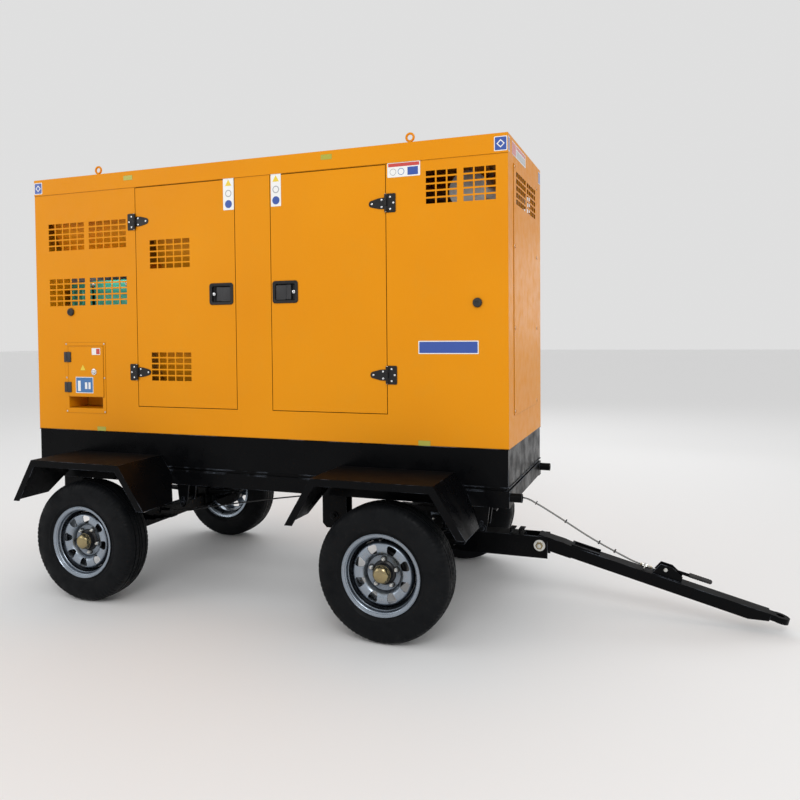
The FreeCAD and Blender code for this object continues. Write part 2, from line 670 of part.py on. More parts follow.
def spring_hangers(name):
    """Plates that carry the leaf-spring eyes and shackles, with a foot under each rail."""
    pieces = []
    for end in ("front", "rear"):
        axle = f"{end}_axle_x"
        for side in (-1, 1):
            back, fore = HANGER_BACK
            points = [(f"{axle} + {back}", "rail_z"), (f"{axle} + {back}", "deck_height - 475"),
                      (f"{axle} + {back} + 25", "deck_height - 500"),
                      (f"{axle} + {fore} - 25", "deck_height - 500"),
                      (f"{axle} + {fore}", "deck_height - 475"), (f"{axle} + {fore}", "rail_z")]
            for row, near in enumerate(("spring_y - leaf_width/2 - 14", "spring_y + leaf_width/2 + 4")):
                pieces.append(prism(f"{name}_{len(pieces)}", "y", points, *away(side, near, f"{near} + 10")))
            low, high = HANGER_FORE
            post = [(f"{axle} + {low}", "rail_z"), (f"{axle} + {low} + 15", "deck_height - 420"),
                    (f"{axle} + {high} - 15", "deck_height - 420"), (f"{axle} + {high}", "rail_z")]
            for row, near in enumerate(("spring_y - leaf_width/2 - 14", "spring_y + leaf_width/2 + 4")):
                pieces.append(prism(f"{name}_{len(pieces)}", "y", post, *away(side, near, f"{near} + 10")))
            for x, up in ((f"{axle} + {(back + fore) / 2}", "deck_height - 470"),
                          (f"{axle} + {(low + high) / 2}", "deck_height - 400")):
                y = away(side, "spring_y - leaf_width/2 - 20", "spring_y + leaf_width/2 + 20")
                pieces.append(rod(f"{name}_{len(pieces)}", "y", (x, y[0], up), "leaf_width + 40", 9))
    return part(name, fuse(name, pieces))


def leaf_springs(name):
    """Stacked leaves over each axle, with rolled eyes and the plates and U-bolts that clamp the beam."""
    packs = []
    for end in ("front", "rear"):
        axle = f"{end}_axle_x"
        for side in (-1, 1):
            tag = f"{name}_{len(packs)}"
            y = away(side, "spring_y - leaf_width/2", "spring_y + leaf_width/2")
            eye_back = f"{axle} + {(HANGER_BACK[0] + HANGER_BACK[1]) / 2}"
            eye_fore = f"{axle} + {(HANGER_FORE[0] + HANGER_FORE[1]) / 2}"
            base = "wheel_radius + beam + 0.3"
            leaves = [prism(tag + "_main", "y", [(eye_back, "deck_height - 480"),
                                                 (f"{axle} - 60", f"{base} + 36"),
                                                 (f"{axle} + 60", f"{base} + 36"),
                                                 (eye_fore, "deck_height - 410"),
                                                 (eye_fore, "deck_height - 400"),
                                                 (f"{axle} + 60", f"{base} + 46"),
                                                 (f"{axle} - 60", f"{base} + 46"),
                                                 (eye_back, "deck_height - 470")], *y)]
            for row, run in enumerate((200, 260, 320)):
                rise = 12 * row
                leaves.append(prism(f"{tag}_leaf{row}", "y",
                                    [(f"{axle} - {run}", f"{base} + {rise + 10}"),
                                     (f"{axle} - 60", f"{base} + {rise}"),
                                                              (f"{axle} + 60", f"{base} + {rise}"),
                                                              (f"{axle} + {run}", f"{base} + {rise + 14}"),
                                                              (f"{axle} + {run}", f"{base} + {rise + 24}"),
                                                              (f"{axle} + 60", f"{base} + {rise + 12}"),
                                                              (f"{axle} - 60", f"{base} + {rise + 12}"),
                                                              (f"{axle} - {run}", f"{base} + {rise + 20}")],
                                                              *y))
            eyes = [rod(f"{tag}_eye{row}", "y", (x, y[0], up), "leaf_width", 19) for row, (x, up) in
                    enumerate(((eye_back, "deck_height - 470"), (eye_fore, "deck_height - 400")))]
            plate = box(tag + "_plate", (f"{axle} - 60", f"{axle} + 60"),
                        away(side, "spring_y - leaf_width/2 - 25", "spring_y + leaf_width/2 + 25"),
                        (f"{base} + 46", f"{base} + 56"))
            legs = [rod(f"{tag}_leg{across}{out}", "z",
                        (f"{axle} + {across}", signed(side, f"spring_y + {out}*(leaf_width/2 + 12)"),
                         "wheel_radius - beam - 26"),
                        "axle_section + 92", 6) for across in (-44, 44) for out in (-1, 1)]
            lower = box(tag + "_lower", (f"{axle} - 60", f"{axle} + 60"),
                        away(side, "spring_y - leaf_width/2 - 25", "spring_y + leaf_width/2 + 25"),
                        ("wheel_radius - beam - 12.3", "wheel_radius - beam - 0.3"))
            bores = [rod(f"{tag}_pinhole{row}", "y", (x, f"{y[0]} - 5", up), "leaf_width + 10",
                         "9 + fit") for row, (x, up) in
                     enumerate(((eye_back, "deck_height - 470"), (eye_fore, "deck_height - 400")))]
            packs.append(cut(tag, fuse(tag + "_stack", leaves + eyes + [plate, lower] + legs), bores))
    return part(name, group(name, packs))


def rear_axle(name):
    """Square beam with a turned spindle and a brake backing plate at each end."""
    beam = box(name + "_beam", ("rear_axle_x - beam", "rear_axle_x + beam"),
               ("-wheel_y + 110", "wheel_y - 110"),
               ("wheel_radius - beam", "wheel_radius + beam"))
    ends = [spindle(f"{name}_{word}", side, ("rear_axle_x", "wheel_radius")) for word, side in SIDES.items()]
    anchor = [box(name + "_cable_bracket", ("rear_axle_x + beam - 1", "rear_axle_x + beam + 8"), (-165, -135),
                  ("wheel_radius - 10", "rail_z - 235")),
              rod(name + "_cable_tube", "x", ("rear_axle_x + beam", -150, "rail_z - 256"), "104 - beam", 10)]
    return part(name, fuse(name, [beam] + ends + anchor))


def spindle(name, side, centre):
    """Stub shaft, collar and backing plate, from just inside the wheel outward."""
    out = "-1*" if side < 0 else "1*"
    profile = [(f"{out}(wheel_y - 112)", 0), (f"{out}(wheel_y - 112)", 34), (f"{out}(wheel_y - 100)", 34),
               (f"{out}(wheel_y - 100)", 110),
               (f"{out}(wheel_y - 94)", 110), (f"{out}(wheel_y - 94)", 34), (f"{out}(wheel_y - 62)", 34),
               (f"{out}(wheel_y - 62)", "spindle_radius"),
               (f"{out}(wheel_y + 30)", "spindle_radius"), (f"{out}(wheel_y + 30)", 0)]
    return turned(name, "y", profile, (centre[0], 0, centre[1]))


def front_axle(name):
    """Square beam with a bored boss for the steering pivot and one for each kingpin."""
    beam = box(name + "_beam", ("front_axle_x - beam", "front_axle_x + beam"),
               ("-kingpin_reach", "kingpin_reach"),
               ("wheel_radius - beam", "wheel_radius + beam"))
    bosses = [rod(f"{name}_boss{word}", "z", ("front_axle_x", signed(side, "kingpin_reach"),
                                              "wheel_radius - beam"), "axle_section", "beam")
              for word, side in SIDES.items()]
    bores = [rod(f"{name}_kingbore{word}", "z", ("front_axle_x", signed(side, "kingpin_reach"),
                                                 "wheel_radius - beam - 1"),
                 "axle_section + 2", "kingpin_radius + fit") for word, side in SIDES.items()]
    centre = rod(name + "_pivot_bore", "z", ("front_axle_x", 0, "wheel_radius - beam - 1"),
                 "axle_section + 2", "pivot_radius + fit")
    return part(name, cut(name, fuse(name + "_blank", [beam] + bosses), bores + [centre]))


def knuckle(name, side):
    """Forked knuckle: kingpin, fork plates, stub shaft and the rearward steering arm."""
    y = signed(side, "kingpin_reach")
    top, bottom = "wheel_radius + beam + 0.4", "wheel_radius - beam - 0.4"
    web = away(side, "kingpin_reach + beam + 3", "wheel_y - 111")
    pieces = [rod(name + "_kingpin", "z", ("front_axle_x", y, f"{bottom} - 18"), "axle_section + 36.8",
                  "kingpin_radius")]
    for row, z in enumerate(((top, f"{top} + 14"), (f"{bottom} - 14", bottom))):
        pieces.append(box(f"{name}_fork{row}", ("front_axle_x - 32", "front_axle_x + 32"),
                          away(side, "kingpin_reach - 30", "wheel_y - 111"), z))
    pieces.append(box(name + "_web", ("front_axle_x - 32", "front_axle_x + 32"), web,
                      (f"{bottom} - 14", f"{top} + 14")))
    pieces.append(spindle(name + "_stub", side, ("front_axle_x", "wheel_radius")))
    pieces.append(box(name + "_arm", ("front_axle_x - steer_arm - 20", "front_axle_x - 30"),
                      away(side, "kingpin_reach - 18", "kingpin_reach + 18"),
                      (f"{bottom} - 14", f"{bottom} - 2")))
    pieces.append(rod(name + "_ball_pin", "z", ("front_axle_x - steer_arm", y, f"{bottom} - 44"), 40, 8))
    return part(name, fuse(name, pieces))


def tie_rod(name):
    """Track rod with an eye at each end and one in the middle for the steering head."""
    z = "wheel_radius - beam - 44"
    pieces = [rod(name + "_rod", "y", ("front_axle_x - steer_arm", "-kingpin_reach + 14", f"{z} + 11"),
                  "kingpin_reach*2 - 28", 10)]
    bores = []
    for row, y in enumerate(("-kingpin_reach", "0", "kingpin_reach")):
        pieces.append(rod(f"{name}_eye{row}", "z", ("front_axle_x - steer_arm", y, z), 22, 20))
        bores.append(rod(f"{name}_bore{row}", "z", ("front_axle_x - steer_arm", y, f"{z} - 2"), 26, "8.4"))
    return part(name, cut(name, fuse(name + "_blank", pieces), bores))


# ---------------------------------------------------------------- wheels
def wheel_place(side, end):
    return f"{end}_axle_x", signed(side, "wheel_y"), "wheel_radius"


def tyre(name, side, end):
    """Radial tyre section with beads on the rim seats; a groove ring each side of the tread centre."""
    w = "tyre_width/2"
    profile = [(f"-({w}) + 34", "bead_radius"), (f"-({w}) + 20", "bead_radius + 3"),
               (f"-({w}) + 12", "bead_radius + 24"), (f"-({w})", "bead_radius + 72"),
               (f"-({w}) + 5", "wheel_radius - 36"), (f"-({w}) + 20", "wheel_radius - 9"),
               (f"-({w}) + 40", "wheel_radius - 2"),
               (-30, "wheel_radius"), (-30, "wheel_radius - 8"), (-20, "wheel_radius - 8"),
               (-20, "wheel_radius"),
               (20, "wheel_radius"), (20, "wheel_radius - 8"), (30, "wheel_radius - 8"), (30, "wheel_radius"),
               (f"{w} - 40", "wheel_radius - 2"), (f"{w} - 20", "wheel_radius - 9"),
               (f"{w} - 5", "wheel_radius - 36"), (w, "bead_radius + 72"),
               (f"{w} - 12", "bead_radius + 24"), (f"{w} - 20", "bead_radius + 3"),
               (f"{w} - 34", "bead_radius"),
               (f"{w} - 36", "bead_radius + 30"), (f"{w} - 14", "bead_radius + 74"),
               (f"{w} - 24", "wheel_radius - 30"),
               (f"-({w}) + 24", "wheel_radius - 30"), (f"-({w}) + 14", "bead_radius + 74"),
               (f"-({w}) + 36", "bead_radius + 30")]
    return part(name, turned(name, "y", profile, wheel_place(side, end)))


def wheel(name, side, end):
    """Pressed steel wheel with eight windows, the hub it bolts to, its cap and five nuts."""
    x, y, z = wheel_place(side, end)
    out = signed(side, 1)
    h, t = "rim_half_width", "rim_wall"
    seat = "(bead_radius - 0.3)"

    def spin(tag, points):
        return turned(tag, "y", [(f"{out}*({along})", radius) for along, radius in points], (x, y, z))
    rim = spin(name + "_rim", [(f"-({h})", "rim_flange_radius"), (f"-({h}) + {t}", "rim_flange_radius"),
                               (f"-({h}) + {t}", f"{seat}"),
                                (f"-({h}) + 44", f"{seat}"), (f"-({h}) + 60", f"{seat} - 18"),
                                (f"{h} - 60", f"{seat} - 18"),
                                (f"{h} - 44", f"{seat}"), (f"{h} - {t}", f"{seat}"),
                                (f"{h} - {t}", "rim_flange_radius"),
                                (h, "rim_flange_radius"), (h, f"{seat} - {t}"),
                                (f"{h} - 42", f"{seat} - {t}"),
                                (f"{h} - 58", f"{seat} - 18 - {t}"), (f"-({h}) + 58", f"{seat} - 18 - {t}"),
                                (f"-({h}) + 42", f"{seat} - {t}"),
                                (f"-({h})", f"{seat} - {t}")])
    disc = spin(name + "_disc", [(22, f"{seat} - 18 - {t}"), (30, f"{seat} - 18 - {t}"), (62, 148), (62, 112),
                                 (34, 92), (28, 88), (28, 40),
                                  (22, 40), (22, 90), (28, 98), (56, 116), (56, 144)])
    windows = []
    for index in range(8):
        turn = f"{index}*45 + 22.5"
        start = f"({y}) + 10" if side > 0 else f"({y}) - 110"
        windows.append(rod(f"{name}_window{index}", "y",
                           (f"{x} + 128*sin({turn})", start, f"{z} + 128*cos({turn})"), 100, 19))
    rim_and_disc = cut(name + "_pressing", fuse(name + "_weldment", [rim, disc]), windows)
    hub = spin(name + "_hub", [(-56, "spindle_radius + fit"), (-56, 100), (-48, 104), (4, 104), (10, 100),
                               (10, 90), (21.7, 88), (21.7, 39), (70, 37),
                                (72, 33), (32, 33), (32, "spindle_radius + fit")])
    cap = spin(name + "_cap", [(72.3, 0), (72.3, 40), (84, 40), (90, 32), (96, 26), (98, 0)])
    nuts = []
    for index in range(5):
        turn = f"{index}*72"
        start = f"({y}) + 28.3" if side > 0 else f"({y}) - 48.3"
        nuts.append(rod(f"{name}_nut{index}", "y",
                        (f"{x} + stud_circle_radius*sin({turn})", start,
                         f"{z} + stud_circle_radius*cos({turn})"), 20, 9))
    return part(name, group(name, [rim_and_disc, hub, cap] + nuts))


# ---------------------------------------------------------------- steering head and drawbar
def steering_head(name):
    """Forked arm that swings on the axle's centre pivot and carries the drawbar between its cheeks."""
    half_width = "head_width/2"
    low, high = "head_z - head_height/2", "head_z + head_height/2"
    arm = box(name + "_arm", ("front_axle_x + 85", "hinge_x - 95"), (f"-{half_width}", half_width),
              (low, high))
    cheeks = [box(f"{name}_cheek{side + 1}", ("hinge_x - 96", "front_x + head_nose"),
                  away(side, f"{half_width} - cheek", half_width), (low, high))
              for side in (-1, 1)]
    plates = []
    for row, z in enumerate((("wheel_radius + beam + 0.4", "wheel_radius + beam + 14.4"),
                             ("wheel_radius - beam - 14.4", "wheel_radius - beam - 0.4"))):
        plates.append(box(f"{name}_fork{row}", ("front_axle_x - 50", "front_axle_x + 120"),
                          (f"-{half_width} + 8", f"{half_width} - 8"), z))
    filler = box(name + "_throat", ("front_axle_x + 84", "front_axle_x + 120"),
                 (f"-{half_width} + 8", f"{half_width} - 8"),
                 ("wheel_radius - beam - 14.4", "wheel_radius + beam + 14.4"))
    pivot = rod(name + "_pivot", "z", ("front_axle_x", 0, "wheel_radius - beam - 22"), "axle_section + 44",
                "pivot_radius")
    link = box(name + "_link", ("front_axle_x - steer_arm - 20", "front_axle_x - 48"), (-18, 18),
               ("wheel_radius - beam - 14.4", "wheel_radius - beam - 2.4"))
    ball = rod(name + "_ball_pin", "z", ("front_axle_x - steer_arm", 0, "wheel_radius - beam - 44.4"), 40, 8)
    hooks = []
    for row, x in enumerate(("front_x - 92", "front_x - 40")):
        hooks.append(box(f"{name}_hook{row}", (x, f"{x} + 8"), (-30, 30), (f"{high} - 1", f"{high} + 28")))
        hooks.append(box(f"{name}_lug{row}", (x, f"{x} + 30"), (-30, 30), (f"{high} + 22", f"{high} + 28")))
    post = box(name + "_cable_post", ("front_axle_x + 90", "front_axle_x + 102"), (-40, -28),
               (f"{high} - 1", "rail_z - 40"))
    guide = rod(name + "_cable_guide", "x", ("front_axle_x + 76", -34, "rail_z - 34"), 40, 12,
                "brake_cable_radius + 0.3")
    solid = fuse(name + "_blank", [arm, filler, pivot, link, ball] + cheeks + plates + hooks + [post, guide])
    bore = rod(name + "_pin_bore", "y", ("hinge_x", f"-{half_width} - 5", "hinge_z"), "head_width + 10",
               "hinge_pin_radius + 0.3")
    return part(name, cut(name, solid, [bore]))


def drawbar_pin(name):
    """Clevis pin with a wide washer and nut on each side."""
    half_width = "head_width/2"
    pieces = [rod(name + "_shank", "y", ("hinge_x", f"-{half_width} - 24", "hinge_z"), "head_width + 48",
                  "hinge_pin_radius")]
    for row, start in enumerate((f"-{half_width} - 6.3", f"{half_width} + 0.3")):
        pieces.append(rod(f"{name}_washer{row}", "y", ("hinge_x", start, "hinge_z"), 6, 32))
    for row, start in enumerate((f"-{half_width} - 22.3", f"{half_width} + 6.3")):
        nut = new("Part::Prism", f"{name}_nut{row}")
        nut.Polygon = 6
        nut.Circumradius = 30
        nut.Height = 16
        nut.Placement = FreeCAD.Placement(FreeCAD.Vector(), FreeCAD.Rotation(*TURN["y"]))
        pieces.append(place(nut, "hinge_x", start, "hinge_z"))
    return part(name, fuse(name, pieces))


def droop_placed(name, pieces):
    """Pieces drawn along +X from the hinge, turned down to the drawbar's resting angle."""
    return tilted(name, group(name + "_level", pieces) if len(pieces) > 1 else pieces[0],
                  ("hinge_x", 0, "hinge_z"), "droop")


def drawbar(name):
    """Box-section bar with root plates, a U-shaped stop on top and a tapered nose."""
    low, high = "bar_rise - bar_height", "bar_rise"
    tube = prism(name + "_tube", "y", [(120, low), ("drawbar_length - 190", low),
                                       ("drawbar_length - 95", "bar_rise - 38"),
                                       ("drawbar_length - 95", high), (120, high)],
                 "-bar_width/2", "bar_width/2")
    bore = box(name + "_tube_bore", (119, "drawbar_length - 200"), ("-bar_width/2 + 5", "bar_width/2 - 5"),
               (f"{low} + 5", f"{high} - 5"))
    root = prism(name + "_root", "y", [(-30, -24), (60, f"{low} - 4"), (178, f"{low} - 4"), (178, low),
                                       (178, high), (120, f"{high} + 7"), (-18, f"{high} + 7"), (-30, 30)],
                 "-bar_width/2", "bar_width/2")
    gap = box(name + "_root_gap", (-40, 120), ("-bar_width/2 + 10", "bar_width/2 - 10"), (-60, f"{high} - 2"))
    ear = rod(name + "_ear", "y", (0, "-bar_width/2", 0), "bar_width", 36)
    frame = [box(f"{name}_guard{row}", x, y, (f"{high}", f"{high} + 12")) for row, (x, y) in enumerate((
        ((165, 320), (-44, -32)), ((165, 320), (32, 44)), ((165, 177), (-44, 44))))]
    bracket = [prism(f"{name}_ratchet{row}", "y", [("lever_at - 60", high), ("lever_at + 90", high),
                                                   ("lever_at + 90", f"{high} + 30"),
                                                   ("lever_at + 30", f"{high} + 62"),
                                                   ("lever_at - 30", f"{high} + 62")], y, f"{y} + 5") for row,
                                                   y in enumerate((-30, 25))]
    solid = fuse(name + "_blank", [cut(name + "_hollow", tube, [bore]),
                                   cut(name + "_root_cut", fuse(name + "_root_blank", [root, ear]),
                                       [gap])] + frame + bracket)
    holes = [rod(name + "_pin_bore", "y", (0, "-bar_width/2 - 5", 0), "bar_width + 10",
                 "hinge_pin_radius + fit"),
             rod(name + "_lever_bore", "y", ("lever_at", -40, f"{high} + 40"), 80, "6 + fit")]
    return part(name, droop_placed(name, [cut(name + "_bar", solid, holes)]))


def tow_eye(name):
    """Forged eye with a flattened shank riveted to the bar's nose."""
    middle = "bar_rise - 19"
    ring = rod(name + "_ring", "z", ("drawbar_length - eye_radius", 0, f"{middle} - eye_thickness/2"),
               "eye_thickness", "eye_radius")
    shank = box(name + "_shank", ("drawbar_length - 94.7", "drawbar_length - eye_radius"), (-38, 38),
                (f"{middle} - eye_thickness/2", f"{middle} + eye_thickness/2"))
    bore = rod(name + "_bore", "z", ("drawbar_length - eye_radius", 0, f"{middle} - eye_thickness"),
               "eye_thickness*2", "eye_bore")
    return part(name, droop_placed(name, [cut(name + "_forging", fuse(name + "_blank", [ring, shank]),
                                              [bore])]))


def brake_lever(name):
    """Hand lever on its pivot pin: flat bar, cable clevis and grip."""
    z = "bar_rise + 40"
    bar = prism(name + "_bar", "y", [("lever_at - 24", f"{z} - 14"), ("lever_at + 20", f"{z} - 14"),
                                     ("lever_at + 120", f"{z} - 2"), ("lever_at + 120", f"{z} + 14"),
                                      ("lever_at - 10", f"{z} + 14"), ("lever_at - 24", f"{z} + 4")], -5, 5)
    pivot = rod(name + "_pivot", "y", ("lever_at", -34, z), 68, 6)
    hub = rod(name + "_hub", "y", ("lever_at", -12, z), 24, 13)
    grip = rod(name + "_grip", "x", ("lever_at + 118", 0, f"{z} + 6"), 118, 13)
    return part(name, droop_placed(name, [fuse(name + "_forging", [bar, pivot, hub, grip])]))


def brake_adjuster(name):
    """Threaded sleeve and lock nuts that anchor the brake cable's casing on the bar."""
    z = "bar_rise + 22"
    saddle = box(name + "_saddle", ("lever_at - 108", "lever_at - 100"), (-26, 2),
                 ("bar_rise + 0.3", f"{z} + 12"))
    sleeve = rod(name + "_sleeve", "x", ("lever_at - 190", -12, z), 120, 7, "brake_cable_radius + 0.3")
    nuts = [rod(f"{name}_nut{row}", "x", (f"lever_at + {x}", -12, z), 9, 12,
                "brake_cable_radius + 0.3") for row, x in enumerate((-118, -100))]
    eye = rod(name + "_rod", "x", ("lever_at - 71", -12, z), 22, 4)
    return part(name, droop_placed(name, [fuse(name + "_fitting", [saddle, sleeve] + nuts + [eye])]))


# ---------------------------------------------------------------- cables
def cable(name, points, radius):
    """A tube along straight runs joined by tangent arcs as large as the runs allow."""
    spots = [FreeCAD.Vector(*[number(text) for text in point]) for point in points]
    edges, start = [], spots[0]
    for before, corner, after in zip(spots, spots[1:], spots[2:]):
        back, ahead = before - corner, after - corner
        setback = 0.45 * min(back.Length, ahead.Length)
        half_turn = (math.pi - back.getAngle(ahead)) / 2
        bend = setback / math.tan(half_turn)
        first, last = corner + back.normalize() * setback, corner + ahead.normalize() * setback
        middle = (first + last) / 2 - corner
        depth = (bend / math.cos(half_turn) - bend)
        arc = Part.Arc(first, corner + middle.normalize() * depth, last)
        edges += [Part.LineSegment(start, first).toShape(), arc.toShape()]
        start = last
        print(f"{name}: bend radius {bend:.0f}")
    edges.append(Part.LineSegment(start, spots[-1]).toShape())
    path = Part.Wire(edges)
    size = number(radius)
    ring = Part.Wire(Part.makeCircle(size, spots[0], spots[1] - spots[0]))
    tube = path.makePipeShell([ring], True, False)
    ratio = tube.Volume / (math.pi * size ** 2 * path.Length)
    print(f"{name}: length {path.Length:.0f}, volume ratio {ratio:.4f}")
    piece = new("Part::Feature", name)
    piece.Shape = tube
    return part(name, piece)


CABLE_END_X = "hinge_x + (lever_at - 190)*cos(droop) + (bar_rise + 22)*sin(droop)"
CABLE_END_Z = "hinge_z - (lever_at - 190)*sin(droop) + (bar_rise + 22)*cos(droop)"
DRAWBAR_CABLE = [("front_axle_x + 116.5", -34, "rail_z - 34"), ("front_axle_x + 210", -34, "rail_z - 34"),
                 ("front_axle_x + 330", -75, "rail_z - 24"), ("front_x - 110", -112, "rail_z - 17"),
                 ("front_x + 20", -118, "rail_z - 19"), ("front_x + 125", -104, "rail_z - 45"),
                 ("front_x + 225", -84, "rail_z - 103"), ("front_x + 320", -60, "rail_z - 170"),
                 ("front_x + 415", -36, "rail_z - 232"),
                 (f"{CABLE_END_X} - 70*cos(droop)", -12, f"{CABLE_END_Z} + 70*sin(droop)"),
                 (CABLE_END_X, -12, CABLE_END_Z)]
AXLE_CABLE = [("front_axle_x - 120", 60, "rail_z - 30"), ("front_axle_x - 230", 60, "rail_z - 30"),
              ("front_axle_x - 400", 30, "rail_z - 50"),
              ("front_axle_x - 560", -15, "rail_z - 76"), ("front_axle_x - 760", -50, "rail_z - 112"),
              ("rear_axle_x + 820", -80, "rail_z - 150"),
              ("rear_axle_x + 600", -110, "rail_z - 186"), ("rear_axle_x + 400", -134, "rail_z - 220"),
              ("rear_axle_x + 230", -150, "rail_z - 256"),
              ("rear_axle_x + 104", -150, "rail_z - 256")]


# ---------------------------------------------------------------- power unit and controls
ENGINE_X = ("front_x - 1500", "front_x - 780")


def engine_block(name):
    """Crankcase, head, sump, manifolds, filter and flywheel housing, on four feet."""
    low, high = ENGINE_X
    z = "shaft_z"
    case = box(name + "_case", ENGINE_X, (-170, 170), (f"{z} - 90", f"{z} + 260"))
    head = box(name + "_head", (f"{low} + 20", f"{high} - 20"), (-130, 130), (f"{z} + 260", f"{z} + 400"))
    cover = box(name + "_cover", (f"{low} + 50", f"{high} - 50"), (-90, 90), (f"{z} + 400", f"{z} + 450"))
    sump = box(name + "_sump", (f"{low} + 30", f"{high} - 30"), (-140, 140), (f"{z} - 260", f"{z} - 90"))
    manifold = rod(name + "_manifold", "x", (f"{low} + 60", -165, f"{z} + 320"), f"({high}) - ({low}) - 120",
                   45)
    intake = rod(name + "_intake", "x", (f"{low} + 60", 160, f"{z} + 320"), f"({high}) - ({low}) - 120", 40)
    filters = [rod(f"{name}_filter{row}", "z", (f"{low} + {x}", -205, f"{z} + 30"), 160, 48) for row,
               x in enumerate((160, 280))]
    cleaner = rod(name + "_cleaner", "x", (f"{low} + 120", 205, f"{z} + 500"), 380, 105)
    neck = rod(name + "_neck", "z", (f"{low} + 300", 190, f"{z} + 310"), 120, 38)
    housing = rod(name + "_housing", "x", (f"{low} - 150", 0, z), 150, 235)
    feet = [box(f"{name}_foot{side}_{row}", (x, f"{x} + 70"), away(side, 120, 300),
                (f"{z} - 120", f"{z} - 90")) for side in (-1, 1)
            for row, x in enumerate((f"{low} - 90", f"{high} - 130"))]
    mounts = [box(f"{name}_mount{side}_{row}", (f"{x} + 5", f"{x} + 65"), away(side, 230, 290),
                  ("deck_height", f"{z} - 120")) for side in (-1, 1)
              for row, x in enumerate((f"{low} - 90", f"{high} - 130"))]
    solid = fuse(name + "_blank", [case, head, cover, sump, manifold, intake, cleaner, neck,
                                   housing] + filters + feet + mounts)
    room = rod(name + "_flywheel_room", "x", (f"{low} - 151", 0, z), 111, 205)
    tunnel = rod(name + "_crank_bore", "x", (f"{low} - 60", 0, z), f"({high}) - ({low}) + 80",
                 "shaft_radius + fit")
    return part(name, cut(name, solid, [room, tunnel]))


def alternator(name):
    """Generator body: stator shell bored around the rotor, end bell, terminal box and feet."""
    high = "front_x - 1651"
    z = "shaft_z"
    shell = turned(name + "_shell", "x", [(0, "shaft_radius + fit"), (0, 200), (30, "stator_radius"),
                                          (560, "stator_radius"), (560, "rotor_radius + 5"),
                                           (40, "rotor_radius + 5"), (40, "shaft_radius + fit")],
                                           (f"{high} - 560", 0, z))
    top = box(name + "_top", (f"{high} - 500", f"{high} - 160"), (-150, 150), (f"{z} + 200", f"{z} + 400"))
    feet = [box(f"{name}_foot{side}", (f"{high} - 460", f"{high} - 80"), away(side, 140, 200),
                ("deck_height", f"{z} - 160")) for side in (-1, 1)]
    solid = fuse(name + "_blank", [shell, top] + feet)
    room = rod(name + "_room", "x", (f"{high} - 519", 0, z), 520, "rotor_radius + 5")
    return part(name, cut(name, solid, [room]))


def crankshaft(name):
    """Crank pulley, shaft, flywheel and the alternator rotor, which turn as one."""
    low, high = ENGINE_X
    pieces = [rod(name + "_shaft", "x", ("front_x - 2196", 0, "shaft_z"), "2196 - 740", "shaft_radius"),
              rod(name + "_flywheel", "x", (f"{low} - 120", 0, "shaft_z"), 60, 195),
              rod(name + "_rotor", "x", ("front_x - 2130", 0, "shaft_z"), 440, "rotor_radius"),
              turned(name + "_pulley", "x", [(0, 0), (0, 85), (10, 85), (14, 70), (26, 70), (30, 85),
                                             (40, 85), (40, 0)], ("front_x - 779", 0, "shaft_z"))]
    return part(name, fuse(name, pieces))


def cooling_fan(name):
    """Six-bladed fan and its belt pulley on one hub."""
    z = "shaft_z + fan_rise"
    hub = turned(name + "_hub", "x", [(0, 0), (0, 78), (10, 78), (14, 62), (26, 62), (30, 78), (40, 78),
                                      (40, 40), (130, 40), (130, 0)], ("front_x - 779", 0, z))
    blades = []
    for index in range(6):
        blade = box(f"{name}_blade{index}", ("0", "10"), (-45, 45), (0, "fan_radius"))
        holder = group(f"{name}_turned{index}", [blade])
        holder.Placement = FreeCAD.Placement(FreeCAD.Vector(),
                                             FreeCAD.Rotation(FreeCAD.Vector(1, 0, 0), 60 * index))
        blades.append(place(holder, "front_x - 700", 0, z))
    return part(name, fuse(name, [hub] + blades))


def fan_belt(name):
    """V belt around the crank and fan pulleys."""
    lift = "fan_rise"
    runs = []
    for side in (-1, 1):
        runs.append(prism(f"{name}_run{side}", "x",
                          [(signed(side, 71), "shaft_z"), (signed(side, 84), "shaft_z"),
                                                      (signed(side, 77), f"shaft_z + {lift}"),
                                                      (signed(side, 63), f"shaft_z + {lift}")],
                          "front_x - 763", "front_x - 755"))
    lower = cut(name + "_lower", rod(name + "_lower_ring", "x", ("front_x - 763", 0, "shaft_z"), 8, 84, 71),
                [box(name + "_lower_trim", ("front_x - 770", "front_x - 750"), (-100, 100),
                     ("shaft_z", "shaft_z + 100"))])
    upper = cut(name + "_upper", rod(name + "_upper_ring", "x", ("front_x - 763", 0, f"shaft_z + {lift}"), 8,
                                     77, 63),
                [box(name + "_upper_trim", ("front_x - 770", "front_x - 750"), (-100, 100),
                     (f"shaft_z + {lift} - 100", f"shaft_z + {lift}"))])
    return part(name, fuse(name, runs + [lower, upper]))


def radiator(name):
    """Core with header tanks and a shroud ring around the fan."""
    z = ("deck_height + 60", "deck_height + 1050")
    core = box(name + "_core", ("front_x - 620", "front_x - 520"), (-380, 380), z)
    tanks = [box(f"{name}_tank{row}", ("front_x - 635", "front_x - 505"), (-400, 400), span) for row,
             span in enumerate(((z[0], f"{z[0]} + 90"), (f"{z[1]} - 90", z[1])))]
    legs = [box(f"{name}_leg{side}", ("front_x - 600", "front_x - 540"), away(side, 340, 400),
                ("deck_height", z[0])) for side in (-1, 1)]
    shroud = rod(name + "_shroud", "x", ("front_x - 720", 0, "shaft_z + fan_rise"), 101, "fan_radius + 30",
                 "fan_radius + 24")
    return part(name, fuse(name, [core, shroud] + tanks + legs))


